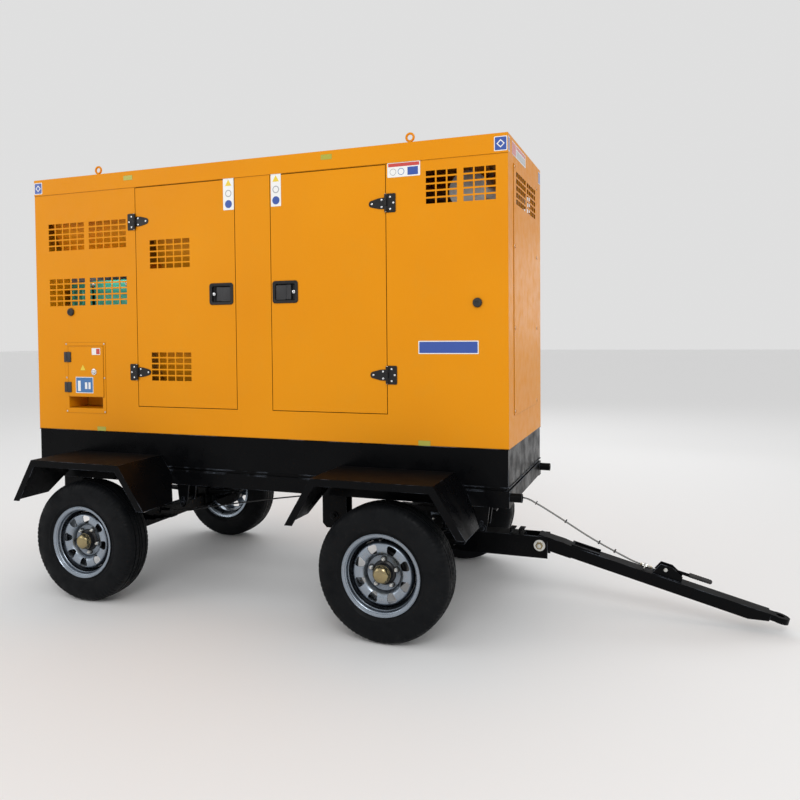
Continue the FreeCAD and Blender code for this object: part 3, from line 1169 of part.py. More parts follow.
def exhaust(name):
    """Silencer across the front bay with its inlet pipe from the manifold and a tail pipe."""
    z = "deck_height + 1360"
    drum = rod(name + "_drum", "y", ("front_x - 250", -330, z), 620, 105)
    inlet = rod(name + "_inlet", "x", ("front_x - 700", -150, z), 380, 38)
    riser = rod(name + "_riser", "z", ("front_x - 700", -150, "deck_height + 1062"), 336, 38)
    tail = rod(name + "_tail", "x", ("front_x - 330", 180, z), 300, 42)
    hangers = [box(f"{name}_hanger{row}", ("front_x - 262", "front_x - 238"), (y, f"{y} + 6"),
                   (f"{z} + 95", "roof_z - skin")) for row, y in enumerate((-250, 250))]
    return part(name, fuse(name, [drum, inlet, riser, tail] + hangers))


def battery(name):
    case = box(name + "_case", ("front_x - 460", "front_x - 130"), (170, 340),
               ("deck_height", "deck_height + 220"))
    posts = [rod(f"{name}_post{row}", "z", (x, 300, "deck_height + 220"), 18, 9) for row,
             x in enumerate(("front_x - 420", "front_x - 170"))]
    return part(name, fuse(name, [case] + posts))


def control_panel(name):
    """Recessed box behind the rear end's window, with a flat face plate and display."""
    z = "deck_height + 1050"
    case = box(name + "_case", ("rear_x + 30", "rear_x + 190"), (-210, 210), (f"{z} - 210", f"{z} + 210"))
    display = box(name + "_display", ("rear_x + 24", "rear_x + 30"), (-110, 30), (f"{z} - 20", f"{z} + 90"))
    bracket = [box(f"{name}_bracket{side}", ("rear_x + skin", "rear_x + 30"), away(side, 180, 210),
                   (f"{z} - 200", f"{z} + 200")) for side in (-1, 1)]
    socket = rod(name + "_stop_bore", "x", ("rear_x + 20", 90, f"{z} + 40"), 60, "8 + fit")
    return part(name, cut(name, fuse(name + "_blank", [case, display] + bracket), [socket]))


def stop_button(name):
    """Mushroom-headed emergency stop."""
    return part(name, turned(name, "x", [(0, 0), (0, 16), (4, 20), (10, 20), (14, 10), (16, 8), (60, 8),
                                         (60, 0)], ("rear_x + 8", 90, "deck_height + 1090")))


def build():
    roof("canopy_roof")
    for word, side in SIDES.items():
        canopy_side(f"canopy_side_{word}", side)
    part("canopy_end_panels",
         group("canopy_end_panels", [front_end("front_end_frame"), rear_end("rear_end_panel")]))
    access_panel("front_access_panel")
    inner_hoods("inner_air_hoods")
    lifting_eyes("lifting_eyes")
    door_stops("door_stop_buffers")
    fixed_hinge_leaves("fixed_hinge_leaves")
    for word, side in SIDES.items():
        for end in ("rear", "front"):
            door(f"door_{end}_{word}", side, end)
            door_fittings(f"door_fittings_{end}_{word}", side, end)
            latch_paddle(f"latch_paddle_{end}_{word}", side, end)
    output_box("output_box")
    output_door("output_door")
    output_lock("output_lock")
    base_tank("base_fuel_tank")
    chassis_frame("chassis_frame")
    fenders("fenders")
    spring_hangers("spring_hangers")
    leaf_springs("leaf_springs")
    rear_axle("rear_axle")
    front_axle("front_axle")
    for word, side in SIDES.items():
        knuckle(f"steering_knuckle_{word}", side)
        for end in ("front", "rear"):
            tyre(f"tyre_{end}_{word}", side, end)
            wheel(f"wheel_{end}_{word}", side, end)
    tie_rod("tie_rod")
    steering_head("steering_head")
    drawbar_pin("drawbar_pin")
    drawbar("drawbar")
    tow_eye("tow_eye")
    brake_lever("brake_lever")
    brake_adjuster("brake_cable_adjuster")
    cable("drawbar_brake_cable", DRAWBAR_CABLE, "brake_cable_radius")
    cable("axle_brake_cable", AXLE_CABLE, "brake_cable_radius")
    engine_block("engine_block")
    alternator("alternator")
    crankshaft("crankshaft_and_rotor")
    cooling_fan("cooling_fan")
    fan_belt("fan_belt")
    radiator("radiator")
    exhaust("exhaust_silencer")
    battery("battery")
    control_panel("control_panel")
    stop_button("stop_button")


def check():
    """Refuse to write anything if an object failed or a sub-part has no valid solid."""
    for obj in doc.Objects:
        if "Invalid" in obj.State or "Error" in obj.State:
            raise RuntimeError(f"{obj.Name} failed: {obj.State}")
    for label, piece in parts.items():
        if piece.Shape.isNull() or not piece.Shape.isValid() or not piece.Shape.Solids:
            raise RuntimeError(f"{label} has no valid solid")
    if len(parts) > 60:
        raise RuntimeError("too many nodes")


build()
doc.recompute()
check()
os.makedirs("parts", exist_ok=True)
for label, piece in parts.items():
    piece.Shape.exportStep(f"parts/{label}.step")
    print(f"{label}: {len(piece.Shape.Solids)} solids")
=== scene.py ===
"""Looks of the towable diesel generator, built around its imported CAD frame. Metres, X forward, Z up."""
import json
import math

import bmesh
import bpy
from mathutils import Matrix, Vector

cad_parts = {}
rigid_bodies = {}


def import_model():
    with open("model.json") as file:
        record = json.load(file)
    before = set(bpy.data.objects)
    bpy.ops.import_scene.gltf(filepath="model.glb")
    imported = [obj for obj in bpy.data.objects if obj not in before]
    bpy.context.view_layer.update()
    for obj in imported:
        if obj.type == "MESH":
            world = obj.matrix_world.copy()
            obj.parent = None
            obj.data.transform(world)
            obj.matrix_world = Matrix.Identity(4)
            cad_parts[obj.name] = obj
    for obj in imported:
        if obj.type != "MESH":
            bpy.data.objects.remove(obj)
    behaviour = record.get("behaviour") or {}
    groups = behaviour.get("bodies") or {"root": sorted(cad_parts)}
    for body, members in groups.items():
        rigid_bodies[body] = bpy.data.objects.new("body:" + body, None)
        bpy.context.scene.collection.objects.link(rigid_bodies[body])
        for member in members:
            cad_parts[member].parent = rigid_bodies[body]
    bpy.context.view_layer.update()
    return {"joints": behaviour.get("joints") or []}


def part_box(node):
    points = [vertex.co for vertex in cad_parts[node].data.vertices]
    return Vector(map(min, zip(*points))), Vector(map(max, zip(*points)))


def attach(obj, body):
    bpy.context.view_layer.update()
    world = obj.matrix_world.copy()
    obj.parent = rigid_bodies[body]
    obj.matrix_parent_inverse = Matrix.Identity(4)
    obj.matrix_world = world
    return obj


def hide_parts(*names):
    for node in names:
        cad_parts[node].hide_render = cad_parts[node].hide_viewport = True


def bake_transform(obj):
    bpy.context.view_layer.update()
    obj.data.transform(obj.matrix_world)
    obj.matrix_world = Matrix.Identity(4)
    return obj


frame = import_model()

MM = 0.001
PADDLE_LEVEL = 835 * MM
HINGE_LEVELS = (0.372, 1.290)
WINDOWS = 8
WINDOW_RADIUS = 127
STUDS = 5
STUD_RADIUS = 69.85 * MM
SIDES = {"right": -1, "left": 1}
ENDS = ("rear", "front")


# ---------------------------------------------------------------- places, all read from the frame
def low(node):
    """The low corner of a CAD node's box."""
    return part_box(node)[0]


def high(node):
    """The high corner of a CAD node's box."""
    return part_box(node)[1]


def middle(node):
    """The centre of a CAD node's box."""
    return (low(node) + high(node)) / 2


FRONT = high("canopy_roof").x
REAR = low("canopy_roof").x
HALF = high("canopy_roof").y
ROOF = high("canopy_roof").z
DECK = high("base_fuel_tank").z
SKIN = high("canopy_side_left").y
WHEELS = {(end, side): middle(f"tyre_{end}_{side}") for end in ENDS for side in SIDES}
TYRE_RADIUS = (high("tyre_front_right").z - low("tyre_front_right").z) / 2
TYRE_HALF = (high("tyre_front_right").y - low("tyre_front_right").y) / 2


JOINTS = {joint["name"]: joint for joint in frame["joints"]}
HINGE = Vector(JOINTS["drawbar_lift"]["pos_m"])
DROOP = math.radians(14.5)
ALONG = Vector((math.cos(DROOP), 0, -math.sin(DROOP)))
UPWARD = Vector((math.sin(DROOP), 0, math.cos(DROOP)))
LEVER_AT = (Vector(JOINTS["brake_lever_pull"]["pos_m"]) - HINGE).dot(ALONG)


def on_bar(along, up, y=0.0):
    """A point in the drawbar's own slope, from the hinge pin, in metres."""
    return HINGE + ALONG * along + UPWARD * up + Vector((0, y, 0))


# ---------------------------------------------------------------- camera, light and floor
def camera():
    """The photograph's eye: its place, turn and framing."""
    data = bpy.data.cameras.new("photo_camera")
    eye = bpy.data.objects.new("photo_camera", data)
    bpy.context.scene.collection.objects.link(eye)
    yaw, pitch, roll = -0.3691, 0.0319, -0.0095
    forward = Vector((math.sin(yaw) * math.cos(pitch), math.cos(yaw) * math.cos(pitch), -math.sin(pitch)))
    eye.location = (FRONT + 0.76206, -HALF - 3.86568, DECK + 0.60136)
    eye.rotation_mode = "QUATERNION"
    eye.rotation_quaternion = forward.to_track_quat("-Z", "Y") @ Matrix.Rotation(roll, 3, "Z").to_quaternion()
    data.sensor_width = 36
    data.lens = 34.549
    data.shift_x, data.shift_y = 0.0332, -0.0537
    data.clip_end = 200
    bpy.context.scene.camera = eye


def area_light(name, spot, aim, size, power, tint=(1, 1, 1)):
    data = bpy.data.lights.new(name, "AREA")
    data.shape = "RECTANGLE"
    data.size, data.size_y = size
    data.energy = power
    data.color = tint
    lamp = bpy.data.objects.new(name, data)
    bpy.context.scene.collection.objects.link(lamp)
    lamp.location = spot
    lamp.rotation_mode = "QUATERNION"
    lamp.rotation_quaternion = (Vector(aim) - Vector(spot)).to_track_quat("-Z", "Y")


def studio():
    """White air, soft lights and a pale floor."""
    scene = bpy.context.scene
    scene.view_settings.view_transform = "Standard"
    world = bpy.data.worlds.new("studio_air")
    scene.world = world
    world.use_nodes = True
    world.node_tree.nodes["Background"].inputs["Color"].default_value = (1.0, 1.0, 1.0, 1)
    world.node_tree.nodes["Background"].inputs["Strength"].default_value = 0.74
    area_light("key", (2.6, -7.5, 6.5), (0, 0, 1.2), (4, 3), 230)
    area_light("fill", (-6.5, -6.0, 4.0), (-0.5, 0, 1.3), (4, 4), 60)
    area_light("front_fill", (8.0, -0.5, 2.4), (0.8, 0, 1.6), (1.6, 2.6), 24)
    area_light("back", (-2.0, 8.0, 6.5), (0, 0, 1.2), (6, 4), 150)
    area_light("under_roof_rear", (-1.72, -0.40, ROOF - 0.50), (-1.86, -0.29, 1.75), (0.16, 0.10), 0.9)
    area_light("front_sheen", (1.95, 6.4, 2.1), (0.87, 0.2, 1.75), (0.7, 1.3), 5)
    floor_mesh = bpy.data.meshes.new("studio_floor")
    reach = 60
    floor_mesh.from_pydata([(-reach, -reach, 0), (reach, -reach, 0), (reach, reach, 0), (-reach, reach, 0)],
                           [], [(0, 1, 2, 3)])
    floor = bpy.data.objects.new("studio_floor", floor_mesh)
    scene.collection.objects.link(floor)
    floor_mesh.materials.append(plain_material("floor_paint", (0.86, 0.86, 0.86), 0.7))


# ---------------------------------------------------------------- materials
def plain_material(name, colour, rough, metal=0.0):
    """A node material with the shader's own base values set."""
    made = bpy.data.materials.new(name)
    made.use_nodes = True
    shader = made.node_tree.nodes["Principled BSDF"]
    shader.inputs["Base Color"].default_value = (*colour, 1)
    shader.inputs["Roughness"].default_value = rough
    shader.inputs["Metallic"].default_value = metal
    return made


class Recipe:
    """A node material whose colour, roughness and bump are layered over object coordinates."""

    def __init__(self, name, colour, rough, metal=0.0, coat=0.0, coat_rough=0.1, specular=0.5):
        self.material = plain_material(name, colour, rough, metal)
        self.tree = self.material.node_tree
        self.shader = self.tree.nodes["Principled BSDF"]
        self.shader.inputs["Coat Weight"].default_value = coat
        self.shader.inputs["Coat Roughness"].default_value = coat_rough
        self.shader.inputs["Specular IOR Level"].default_value = specular
        self.place = self.node("ShaderNodeTexCoord").outputs["Object"]
        rgb = self.node("ShaderNodeRGB")
        rgb.outputs[0].default_value = (*colour, 1)
        self.colour = rgb.outputs[0]
        value = self.node("ShaderNodeValue")
        value.outputs[0].default_value = rough
        self.rough = value.outputs[0]
        self.height = None
        self.rounding = None

    def node(self, kind, **inputs):
        made = self.tree.nodes.new(kind)
        for key, item in inputs.items():
            key = key.replace("_", " ")
            if hasattr(item, "links"):
                self.tree.links.new(item, made.inputs[key])
            else:
                made.inputs[key].default_value = item
        return made

    def noise(self, scale, detail=3.0, rough=0.55, stretch=None):
        place = self.place
        if stretch:
            place = self.node("ShaderNodeMapping", Vector=place, Scale=stretch).outputs[0]
        return self.node("ShaderNodeTexNoise", Vector=place, Scale=scale, Detail=detail,
                         Roughness=rough).outputs["Fac"]

    def ramp(self, source, start, end, out=(0.0, 1.0)):
        return self.node("ShaderNodeMapRange", Value=source, From_Min=start, From_Max=end, To_Min=out[0],
                         To_Max=out[1]).outputs["Result"]

    def times(self, one, two):
        made = self.node("ShaderNodeMath")
        made.operation = "MULTIPLY"
        for index, item in enumerate((one, two)):
            if hasattr(item, "links"):
                self.tree.links.new(item, made.inputs[index])
            else:
                made.inputs[index].default_value = item
        return made.outputs[0]

    def tint(self, amount, colour):
        """Mix the colour so far towards another by a mask."""
        made = self.node("ShaderNodeMix")
        made.data_type = "RGBA"
        self.tree.links.new(amount, made.inputs["Factor"])
        self.tree.links.new(self.colour, made.inputs[6])
        made.inputs[7].default_value = (*colour, 1)
        self.colour = made.outputs[2]
        return self

    def roughen(self, amount, rough):
        made = self.node("ShaderNodeMix")
        self.tree.links.new(amount, made.inputs["Factor"])
        self.tree.links.new(self.rough, made.inputs[2])
        made.inputs[3].default_value = rough
        self.rough = made.outputs[0]
        return self

    def bump(self, source, distance, strength=1.0):
        made = self.node("ShaderNodeBump", Height=source, Distance=distance, Strength=strength)
        if self.height is not None:
            self.tree.links.new(self.height, made.inputs["Normal"])
        elif self.rounding is not None:
            self.tree.links.new(self.rounding, made.inputs["Normal"])
        self.height = made.outputs[0]
        return self

    def soften_edges(self, radius):
        made = self.node("ShaderNodeBevel", Radius=radius)
        made.samples = 4
        self.rounding = made.outputs[0]
        return self

    def edge_mask(self, radius, breakup):
        """1 on sharp edges, broken up by noise, from how far the rounded normal leans from the flat one."""
        round_normal = self.node("ShaderNodeBevel", Radius=radius)
        round_normal.samples = 4
        flat = self.node("ShaderNodeNewGeometry").outputs["Normal"]
        lean = self.node("ShaderNodeVectorMath")
        lean.operation = "DOT_PRODUCT"
        self.tree.links.new(round_normal.outputs[0], lean.inputs[0])
        self.tree.links.new(flat, lean.inputs[1])
        edge = self.ramp(lean.outputs["Value"], 0.97, 0.80)
        return self.times(edge, self.ramp(self.noise(breakup, 4), 0.48, 0.62))

    def painted_shade_crevice(self, reach, deep=0.75):
        """1 in seams and grooves, from how much of the sky nearby metal hides: the mask for painted shade."""
        open_sky = self.node("ShaderNodeAmbientOcclusion", Distance=reach)
        open_sky.samples = 6
        return self.ramp(open_sky.outputs["AO"], 0.92, deep - 0.4)

    def upward(self, start=0.55, end=0.98):
        """1 where the surface looks up."""
        split = self.node("ShaderNodeSeparateXYZ",
                          Vector=self.node("ShaderNodeNewGeometry").outputs["Normal"])
        return self.ramp(split.outputs["Z"], start, end)

    def done(self):
        self.tree.links.new(self.colour, self.shader.inputs["Base Color"])
        self.tree.links.new(self.rough, self.shader.inputs["Roughness"])
        normal = self.height or self.rounding
        if normal is not None:
            self.tree.links.new(normal, self.shader.inputs["Normal"])
        return self.material


def powder_coat(name, colour, shade, dust):
    paint = Recipe(name, colour, 0.34, specular=0.16)
    paint.soften_edges(1.6 * MM)
    paint.tint(paint.ramp(paint.noise(1.1, 2), 0.35, 0.7, (0.0, 0.55)), shade)
    paint.tint(paint.times(paint.ramp(paint.noise(7, 5, 0.7), 0.52, 0.75), 0.10), dust)
    streaks = paint.noise(5, 4, 0.6, (9, 9, 0.6))
    paint.tint(paint.times(paint.ramp(streaks, 0.55, 0.8), 0.07), dust)
    # Painted highlight: sharp edges are tinted a lighter orange.
    paint.tint(paint.times(paint.edge_mask(1.2 * MM, 60), 0.25),
               tuple(min(1, c * 1.35 + 0.04) for c in colour))
    # Painted shade: the paint darkens to a sixth of its colour in seams and grooves.
    paint.tint(paint.times(paint.painted_shade_crevice(9 * MM), 0.85), tuple(c * 0.16 for c in colour))
    paint.roughen(paint.ramp(paint.noise(16, 4), 0.4, 0.7), 0.46)
    paint.bump(paint.noise(420, 2), 0.25 * MM, 0.22)
    paint.bump(paint.noise(2.2, 1), 6 * MM, 0.10)
    return paint.done()


def chassis_enamel():
    paint = Recipe("chassis_enamel", (0.0020, 0.0022, 0.0027), 0.24, specular=0.07)
    paint.soften_edges(2.4 * MM)
    paint.tint(paint.times(paint.upward(), paint.ramp(paint.noise(3, 5), 0.35, 0.8, (0.02, 0.14))),
               (0.030, 0.025, 0.021))
    paint.tint(paint.times(paint.ramp(paint.noise(2.3, 6, 0.65), 0.55, 0.85), 0.18), (0.011, 0.011, 0.012))
    # Painted highlight: sharp edges are tinted a bluish grey, standing in for reflected sky.
    paint.tint(paint.times(paint.edge_mask(3.2 * MM, 9), 0.95), (0.20, 0.23, 0.28))
    paint.roughen(paint.upward(), 0.60)
    paint.roughen(paint.ramp(paint.noise(9, 5), 0.42, 0.72), 0.52)
    paint.bump(paint.noise(160, 3), 0.3 * MM, 0.30)
    paint.bump(paint.noise(6, 2), 3 * MM, 0.10)
    return paint.done()


def satin_black(name="satin_black"):
    paint = Recipe(name, (0.008, 0.008, 0.009), 0.32, specular=0.35)
    paint.soften_edges(1.0 * MM)
    # Painted highlight: sharp edges are tinted grey.
    paint.tint(paint.times(paint.edge_mask(1.0 * MM, 90), 0.6), (0.12, 0.12, 0.12))
    paint.roughen(paint.ramp(paint.noise(30, 4), 0.4, 0.7), 0.5)
    paint.bump(paint.noise(700, 2), 0.12 * MM, 0.3)
    return paint.done()


def tyre_rubber():
    rubber = Recipe("tyre_rubber", (0.0044, 0.0050, 0.0060), 0.44, specular=0.10)
    rubber.tint(rubber.ramp(rubber.noise(5, 5, 0.65), 0.45, 0.8, (0.0, 0.35)), (0.011, 0.012, 0.013))
    rubber.tint(rubber.times(rubber.ramp(rubber.noise(38, 4), 0.58, 0.82), 0.3), (0.026, 0.024, 0.022))
    rubber.roughen(rubber.ramp(rubber.noise(14, 4), 0.4, 0.7), 0.82)
    rubber.bump(rubber.noise(300, 4), 0.35 * MM, 0.45)
    return rubber.done()


def wheel_lacquer():
    paint = Recipe("wheel_lacquer", (0.30, 0.345, 0.40), 0.24, metal=0.95, specular=0.4)
    paint.soften_edges(0.8 * MM)
    paint.tint(paint.ramp(paint.noise(9, 4), 0.4, 0.75, (0.0, 0.30)), (0.21, 0.24, 0.28))
    # Painted shade: the wheel's grooves and seams darken to near black.
    paint.tint(paint.times(paint.painted_shade_crevice(42 * MM, 0.85), 0.85), (0.020, 0.024, 0.032))
    paint.tint(paint.times(paint.ramp(paint.noise(50, 5, 0.7), 0.6, 0.8), 0.35), (0.14, 0.125, 0.105))
    paint.roughen(paint.ramp(paint.noise(24, 4), 0.4, 0.72), 0.45)
    paint.bump(paint.noise(900, 1), 0.1 * MM, 0.25)
    return paint.done()


def plated(name, colour, shade, rough, patch=0.45):
    metal = Recipe(name, colour, rough, metal=1.0)
    metal.soften_edges(0.7 * MM)
    metal.tint(metal.ramp(metal.noise(32, 4), 0.42, 0.78, (0.0, patch)), shade)
    metal.roughen(metal.ramp(metal.noise(140, 4), 0.4, 0.7), rough + 0.12)
    metal.bump(metal.noise(600, 3), 0.12 * MM, 0.25)
    return metal.done()


def moulded(name, colour, rough, grain=500):
    plastic = Recipe(name, colour, rough)
    plastic.soften_edges(0.9 * MM)
    plastic.tint(plastic.ramp(plastic.noise(12, 4), 0.45, 0.75, (0.0, 0.4)),
                 tuple(min(1, c * 1.5 + 0.012) for c in colour))
    plastic.roughen(plastic.ramp(plastic.noise(40, 3), 0.4, 0.7), min(1, rough + 0.15))
    plastic.bump(plastic.noise(grain, 2), 0.15 * MM, 0.35)
    return plastic.done()


def cast_enamel():
    paint = Recipe("cast_enamel", (0.030, 0.36, 0.27), 0.36, coat=0.2, coat_rough=0.2)
    paint.soften_edges(6 * MM)
    paint.tint(paint.ramp(paint.noise(4, 4), 0.4, 0.75, (0.0, 0.45)), (0.015, 0.19, 0.155))
    paint.tint(paint.times(paint.upward(0.3, 0.95), paint.ramp(paint.noise(11, 5), 0.4, 0.8, (0.0, 0.4))),
               (0.12, 0.16, 0.13))
    paint.roughen(paint.ramp(paint.noise(14, 4), 0.4, 0.7), 0.55)
    paint.bump(paint.noise(90, 5, 0.7), 0.9 * MM, 0.5)
    return paint.done()


def finned_core():
    core = Recipe("finned_core", (0.10, 0.10, 0.105), 0.42, metal=0.8)
    wave = core.node("ShaderNodeTexWave", Vector=core.place, Scale=95.0, Distortion=0.0)
    wave.bands_direction = "Z"
    core.tint(core.ramp(wave.outputs["Fac"], 0.3, 0.7, (0.0, 0.8)), (0.02, 0.02, 0.02))
    core.bump(wave.outputs["Fac"], 2 * MM, 0.8)
    return core.done()


def acoustic_foam():
    foam = Recipe("acoustic_foam", (0.035, 0.035, 0.037), 0.95, specular=0.15)
    foam.tint(foam.ramp(foam.noise(90, 5), 0.4, 0.7, (0.0, 0.6)), (0.075, 0.075, 0.078))
    foam.bump(foam.noise(260, 5, 0.8), 1.4 * MM, 0.9)
    return foam.done()


def label_film(name, colour):
    film = Recipe(name, colour, 0.28, coat=0.5, coat_rough=0.08)
    film.tint(film.ramp(film.noise(25, 4), 0.45, 0.8, (0.0, 0.12)), tuple(c * 0.75 for c in colour))
    film.roughen(film.ramp(film.noise(60, 3), 0.4, 0.7), 0.40)
    film.bump(film.noise(120, 2), 0.1 * MM, 0.15)
    return film.done()


def braided_steel():
    wire = Recipe("braided_steel", (0.36, 0.36, 0.35), 0.36, metal=0.9)
    wave = wire.node("ShaderNodeTexWave", Vector=wire.place, Scale=220.0, Distortion=0.6)
    wave.bands_direction = "DIAGONAL"
    wire.tint(wire.ramp(wave.outputs["Fac"], 0.3, 0.8, (0.0, 0.7)), (0.14, 0.14, 0.13))
    wire.bump(wave.outputs["Fac"], 0.5 * MM, 0.6)
    return wire.done()


MAT = {
    "orange": powder_coat("canopy_powder_coat", (0.79, 0.292, 0.002), (0.73, 0.252, 0.0015),
                          (0.62, 0.31, 0.03)),
    # Painted light: the inner air hoods get a brighter copy of the canopy orange, standing in for light that
    # does not reach them behind the grilles.
    "hood": powder_coat("hood_coat_painted_light", (0.88, 0.34, 0.010), (0.80, 0.30, 0.008), (0.66, 0.36, 0.06)),
    "black": chassis_enamel(), "satin": satin_black(), "tyre": tyre_rubber(), "silver": wheel_lacquer(),
    "zinc": plated("zinc_plate", (0.66, 0.66, 0.63), (0.42, 0.42, 0.40), 0.26),
    "gold": plated("passivated_zinc", (0.34, 0.28, 0.15), (0.20, 0.15, 0.11), 0.16),
    "brass": plated("brass_fitting", (0.74, 0.55, 0.22), (0.50, 0.36, 0.14), 0.22),
    "chrome": plated("chrome_plate", (0.82, 0.83, 0.84), (0.62, 0.63, 0.64), 0.08),
    "steel": plated("machined_steel", (0.50, 0.50, 0.50), (0.33, 0.33, 0.33), 0.30),
    "exhaust": plated("aluminised_steel", (0.52, 0.51, 0.49), (0.33, 0.29, 0.24), 0.38),
    "rubber": moulded("moulded_rubber", (0.018, 0.018, 0.018), 0.6, 350),
    "plastic": moulded("black_plastic", (0.022, 0.022, 0.024), 0.42),
    "battery": moulded("battery_case", (0.03, 0.03, 0.034), 0.38),
    "fan": moulded("fan_nylon", (0.035, 0.035, 0.037), 0.5),
    "belt": moulded("belt_rubber", (0.020, 0.019, 0.018), 0.7, 250),
    "sheath": moulded("cable_sheath", (0.022, 0.022, 0.023), 0.4),
    "green": cast_enamel(), "core": finned_core(), "foam": acoustic_foam(),
    "grey": powder_coat("panel_powder_coat", (0.20, 0.21, 0.22), (0.16, 0.17, 0.18), (0.26, 0.25, 0.23)),
    "white_film": label_film("white_film", (0.86, 0.86, 0.84)),
    "blue_film": label_film("blue_film", (0.022, 0.075, 0.36)),
    "sky_film": label_film("sky_film", (0.045, 0.17, 0.42)),
    "yellow_film": label_film("yellow_film", (0.83, 0.60, 0.03)),
    "lime_film": label_film("lime_film", (0.42, 0.40, 0.03)),
    "red_film": label_film("red_film", (0.58, 0.05, 0.04)),
    "grey_film": label_film("grey_film", (0.42, 0.43, 0.44)),
    "red": moulded("red_gloss", (0.62, 0.018, 0.012), 0.22, 900),
    "screen": moulded("display_glass", (0.010, 0.030, 0.026), 0.08, 1200),
    "wire": braided_steel(),
}


# ---------------------------------------------------------------- mesh helpers
def add(name, mesh, body, material, smooth=True):
    piece = bpy.data.objects.new(name, mesh)
    bpy.context.scene.collection.objects.link(piece)
    if not mesh.materials:
        mesh.materials.append(MAT[material])
    if smooth:
        mesh.polygons.foreach_set("use_smooth", [True] * len(mesh.polygons))
        mesh.set_sharp_from_angle(angle=math.radians(38))
    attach(piece, body)
    return piece


def from_bmesh(name, shape):
    """A mesh with outward normals from a bmesh, which is freed."""
    bmesh.ops.recalc_face_normals(shape, faces=shape.faces)
    mesh = bpy.data.meshes.new(name)
    shape.to_mesh(mesh)
    shape.free()
    return mesh


def block(shape, start, end, radius, segments=2):
    """Add a box with rounded edges between two corners to a bmesh."""
    start, end = Vector(start), Vector(end)
    made = bmesh.ops.create_cube(shape, size=1)["verts"]
    place = Matrix.Translation((start + end) / 2) @ Matrix.Diagonal((*(end - start), 1))
    bmesh.ops.transform(shape, matrix=place, verts=made)
    edges = list({edge for vert in made for edge in vert.link_edges})
    bmesh.ops.bevel(shape, geom=edges, offset=radius, segments=segments, affect="EDGES", profile=0.5)


def build(name, shape, body, material, smooth=True):
    """Turn a bmesh into a finished piece."""
    return add(name, from_bmesh(name, shape), body, material, smooth)


def facing(axis):
    """The turn that takes +X to an axis."""
    return Vector((1, 0, 0)).rotation_difference(Vector(axis)).to_matrix().to_4x4()


def join(shape, other, place=None):
    """Add one bmesh to another, first moved by a matrix if there is one."""
    if place is not None:
        bmesh.ops.transform(other, matrix=place, verts=other.verts)
    scrap = bpy.data.meshes.new("scrap")
    other.to_mesh(scrap)
    other.free()
    shape.from_mesh(scrap)
    bpy.data.meshes.remove(scrap)


def bridge(shape, rings):
    """Faces between each ring of vertices and the next."""
    for one, two in zip(rings, rings[1:]):
        for index in range(len(one)):
            after = (index + 1) % len(one)
            shape.faces.new((one[index], one[after], two[after], two[index]))


def spun(profile, segments=64, warp=None):
    """A new bmesh turned about X from (along, radius) points in millimetres."""
    shape = bmesh.new()
    lathe(shape, [(along * MM, radius * MM) for along, radius in profile], segments, True, warp)
    return shape


def lathe(shape, profile, segments=64, closed=True, warp=None):
    """Spin (along, radius) points about X into a bmesh. warp(along, radius, angle) may move each point."""
    rings = []
    for index in range(segments):
        angle = math.tau * index / segments
        ring = []
        for along, radius in profile:
            if warp:
                along, radius = warp(along, radius, angle)
            ring.append(shape.verts.new((along, radius * math.cos(angle), radius * math.sin(angle))))
        rings.append(ring)
    count = len(profile)
    for index in range(segments):
        here, there = rings[index], rings[(index + 1) % segments]
        for step in range(count if closed else count - 1):
            after = (step + 1) % count
            shape.faces.new((here[step], here[after], there[after], there[step]))


def turned(name, profile, at, axis, body, material, segments=48, closed=True):
    """A lathed piece whose profile runs along `axis` from `at`; millimetres in the profile."""
    shape = bmesh.new()
    lathe(shape, [(along * MM, max(radius, 0.02) * MM) for along, radius in profile], segments, closed)
    turn = facing(axis)
    bmesh.ops.transform(shape, matrix=Matrix.Translation(at) @ turn, verts=shape.verts)
    return add(name, from_bmesh(name, shape), body, material)


def slab(name, start, end, radius, body, material, segments=2):
    """A rounded box as a piece of its own."""
    shape = bmesh.new()
    block(shape, start, end, radius * MM, segments)
    return add(name, from_bmesh(name, shape), body, material)


def hexagon(shape, at, axis, across, thick):
    """A bolt head with a chamfered top, into a bmesh."""
    radius = across / math.sqrt(3)
    turn = facing(axis)
    local = bmesh.new()
    lathe(local, [(0, radius * 0.02), (0, radius), (thick * 0.82, radius), (thick, radius * 0.86),
                  (thick, radius * 0.02)], 6)
    join(shape, local, Matrix.Translation(at) @ turn)


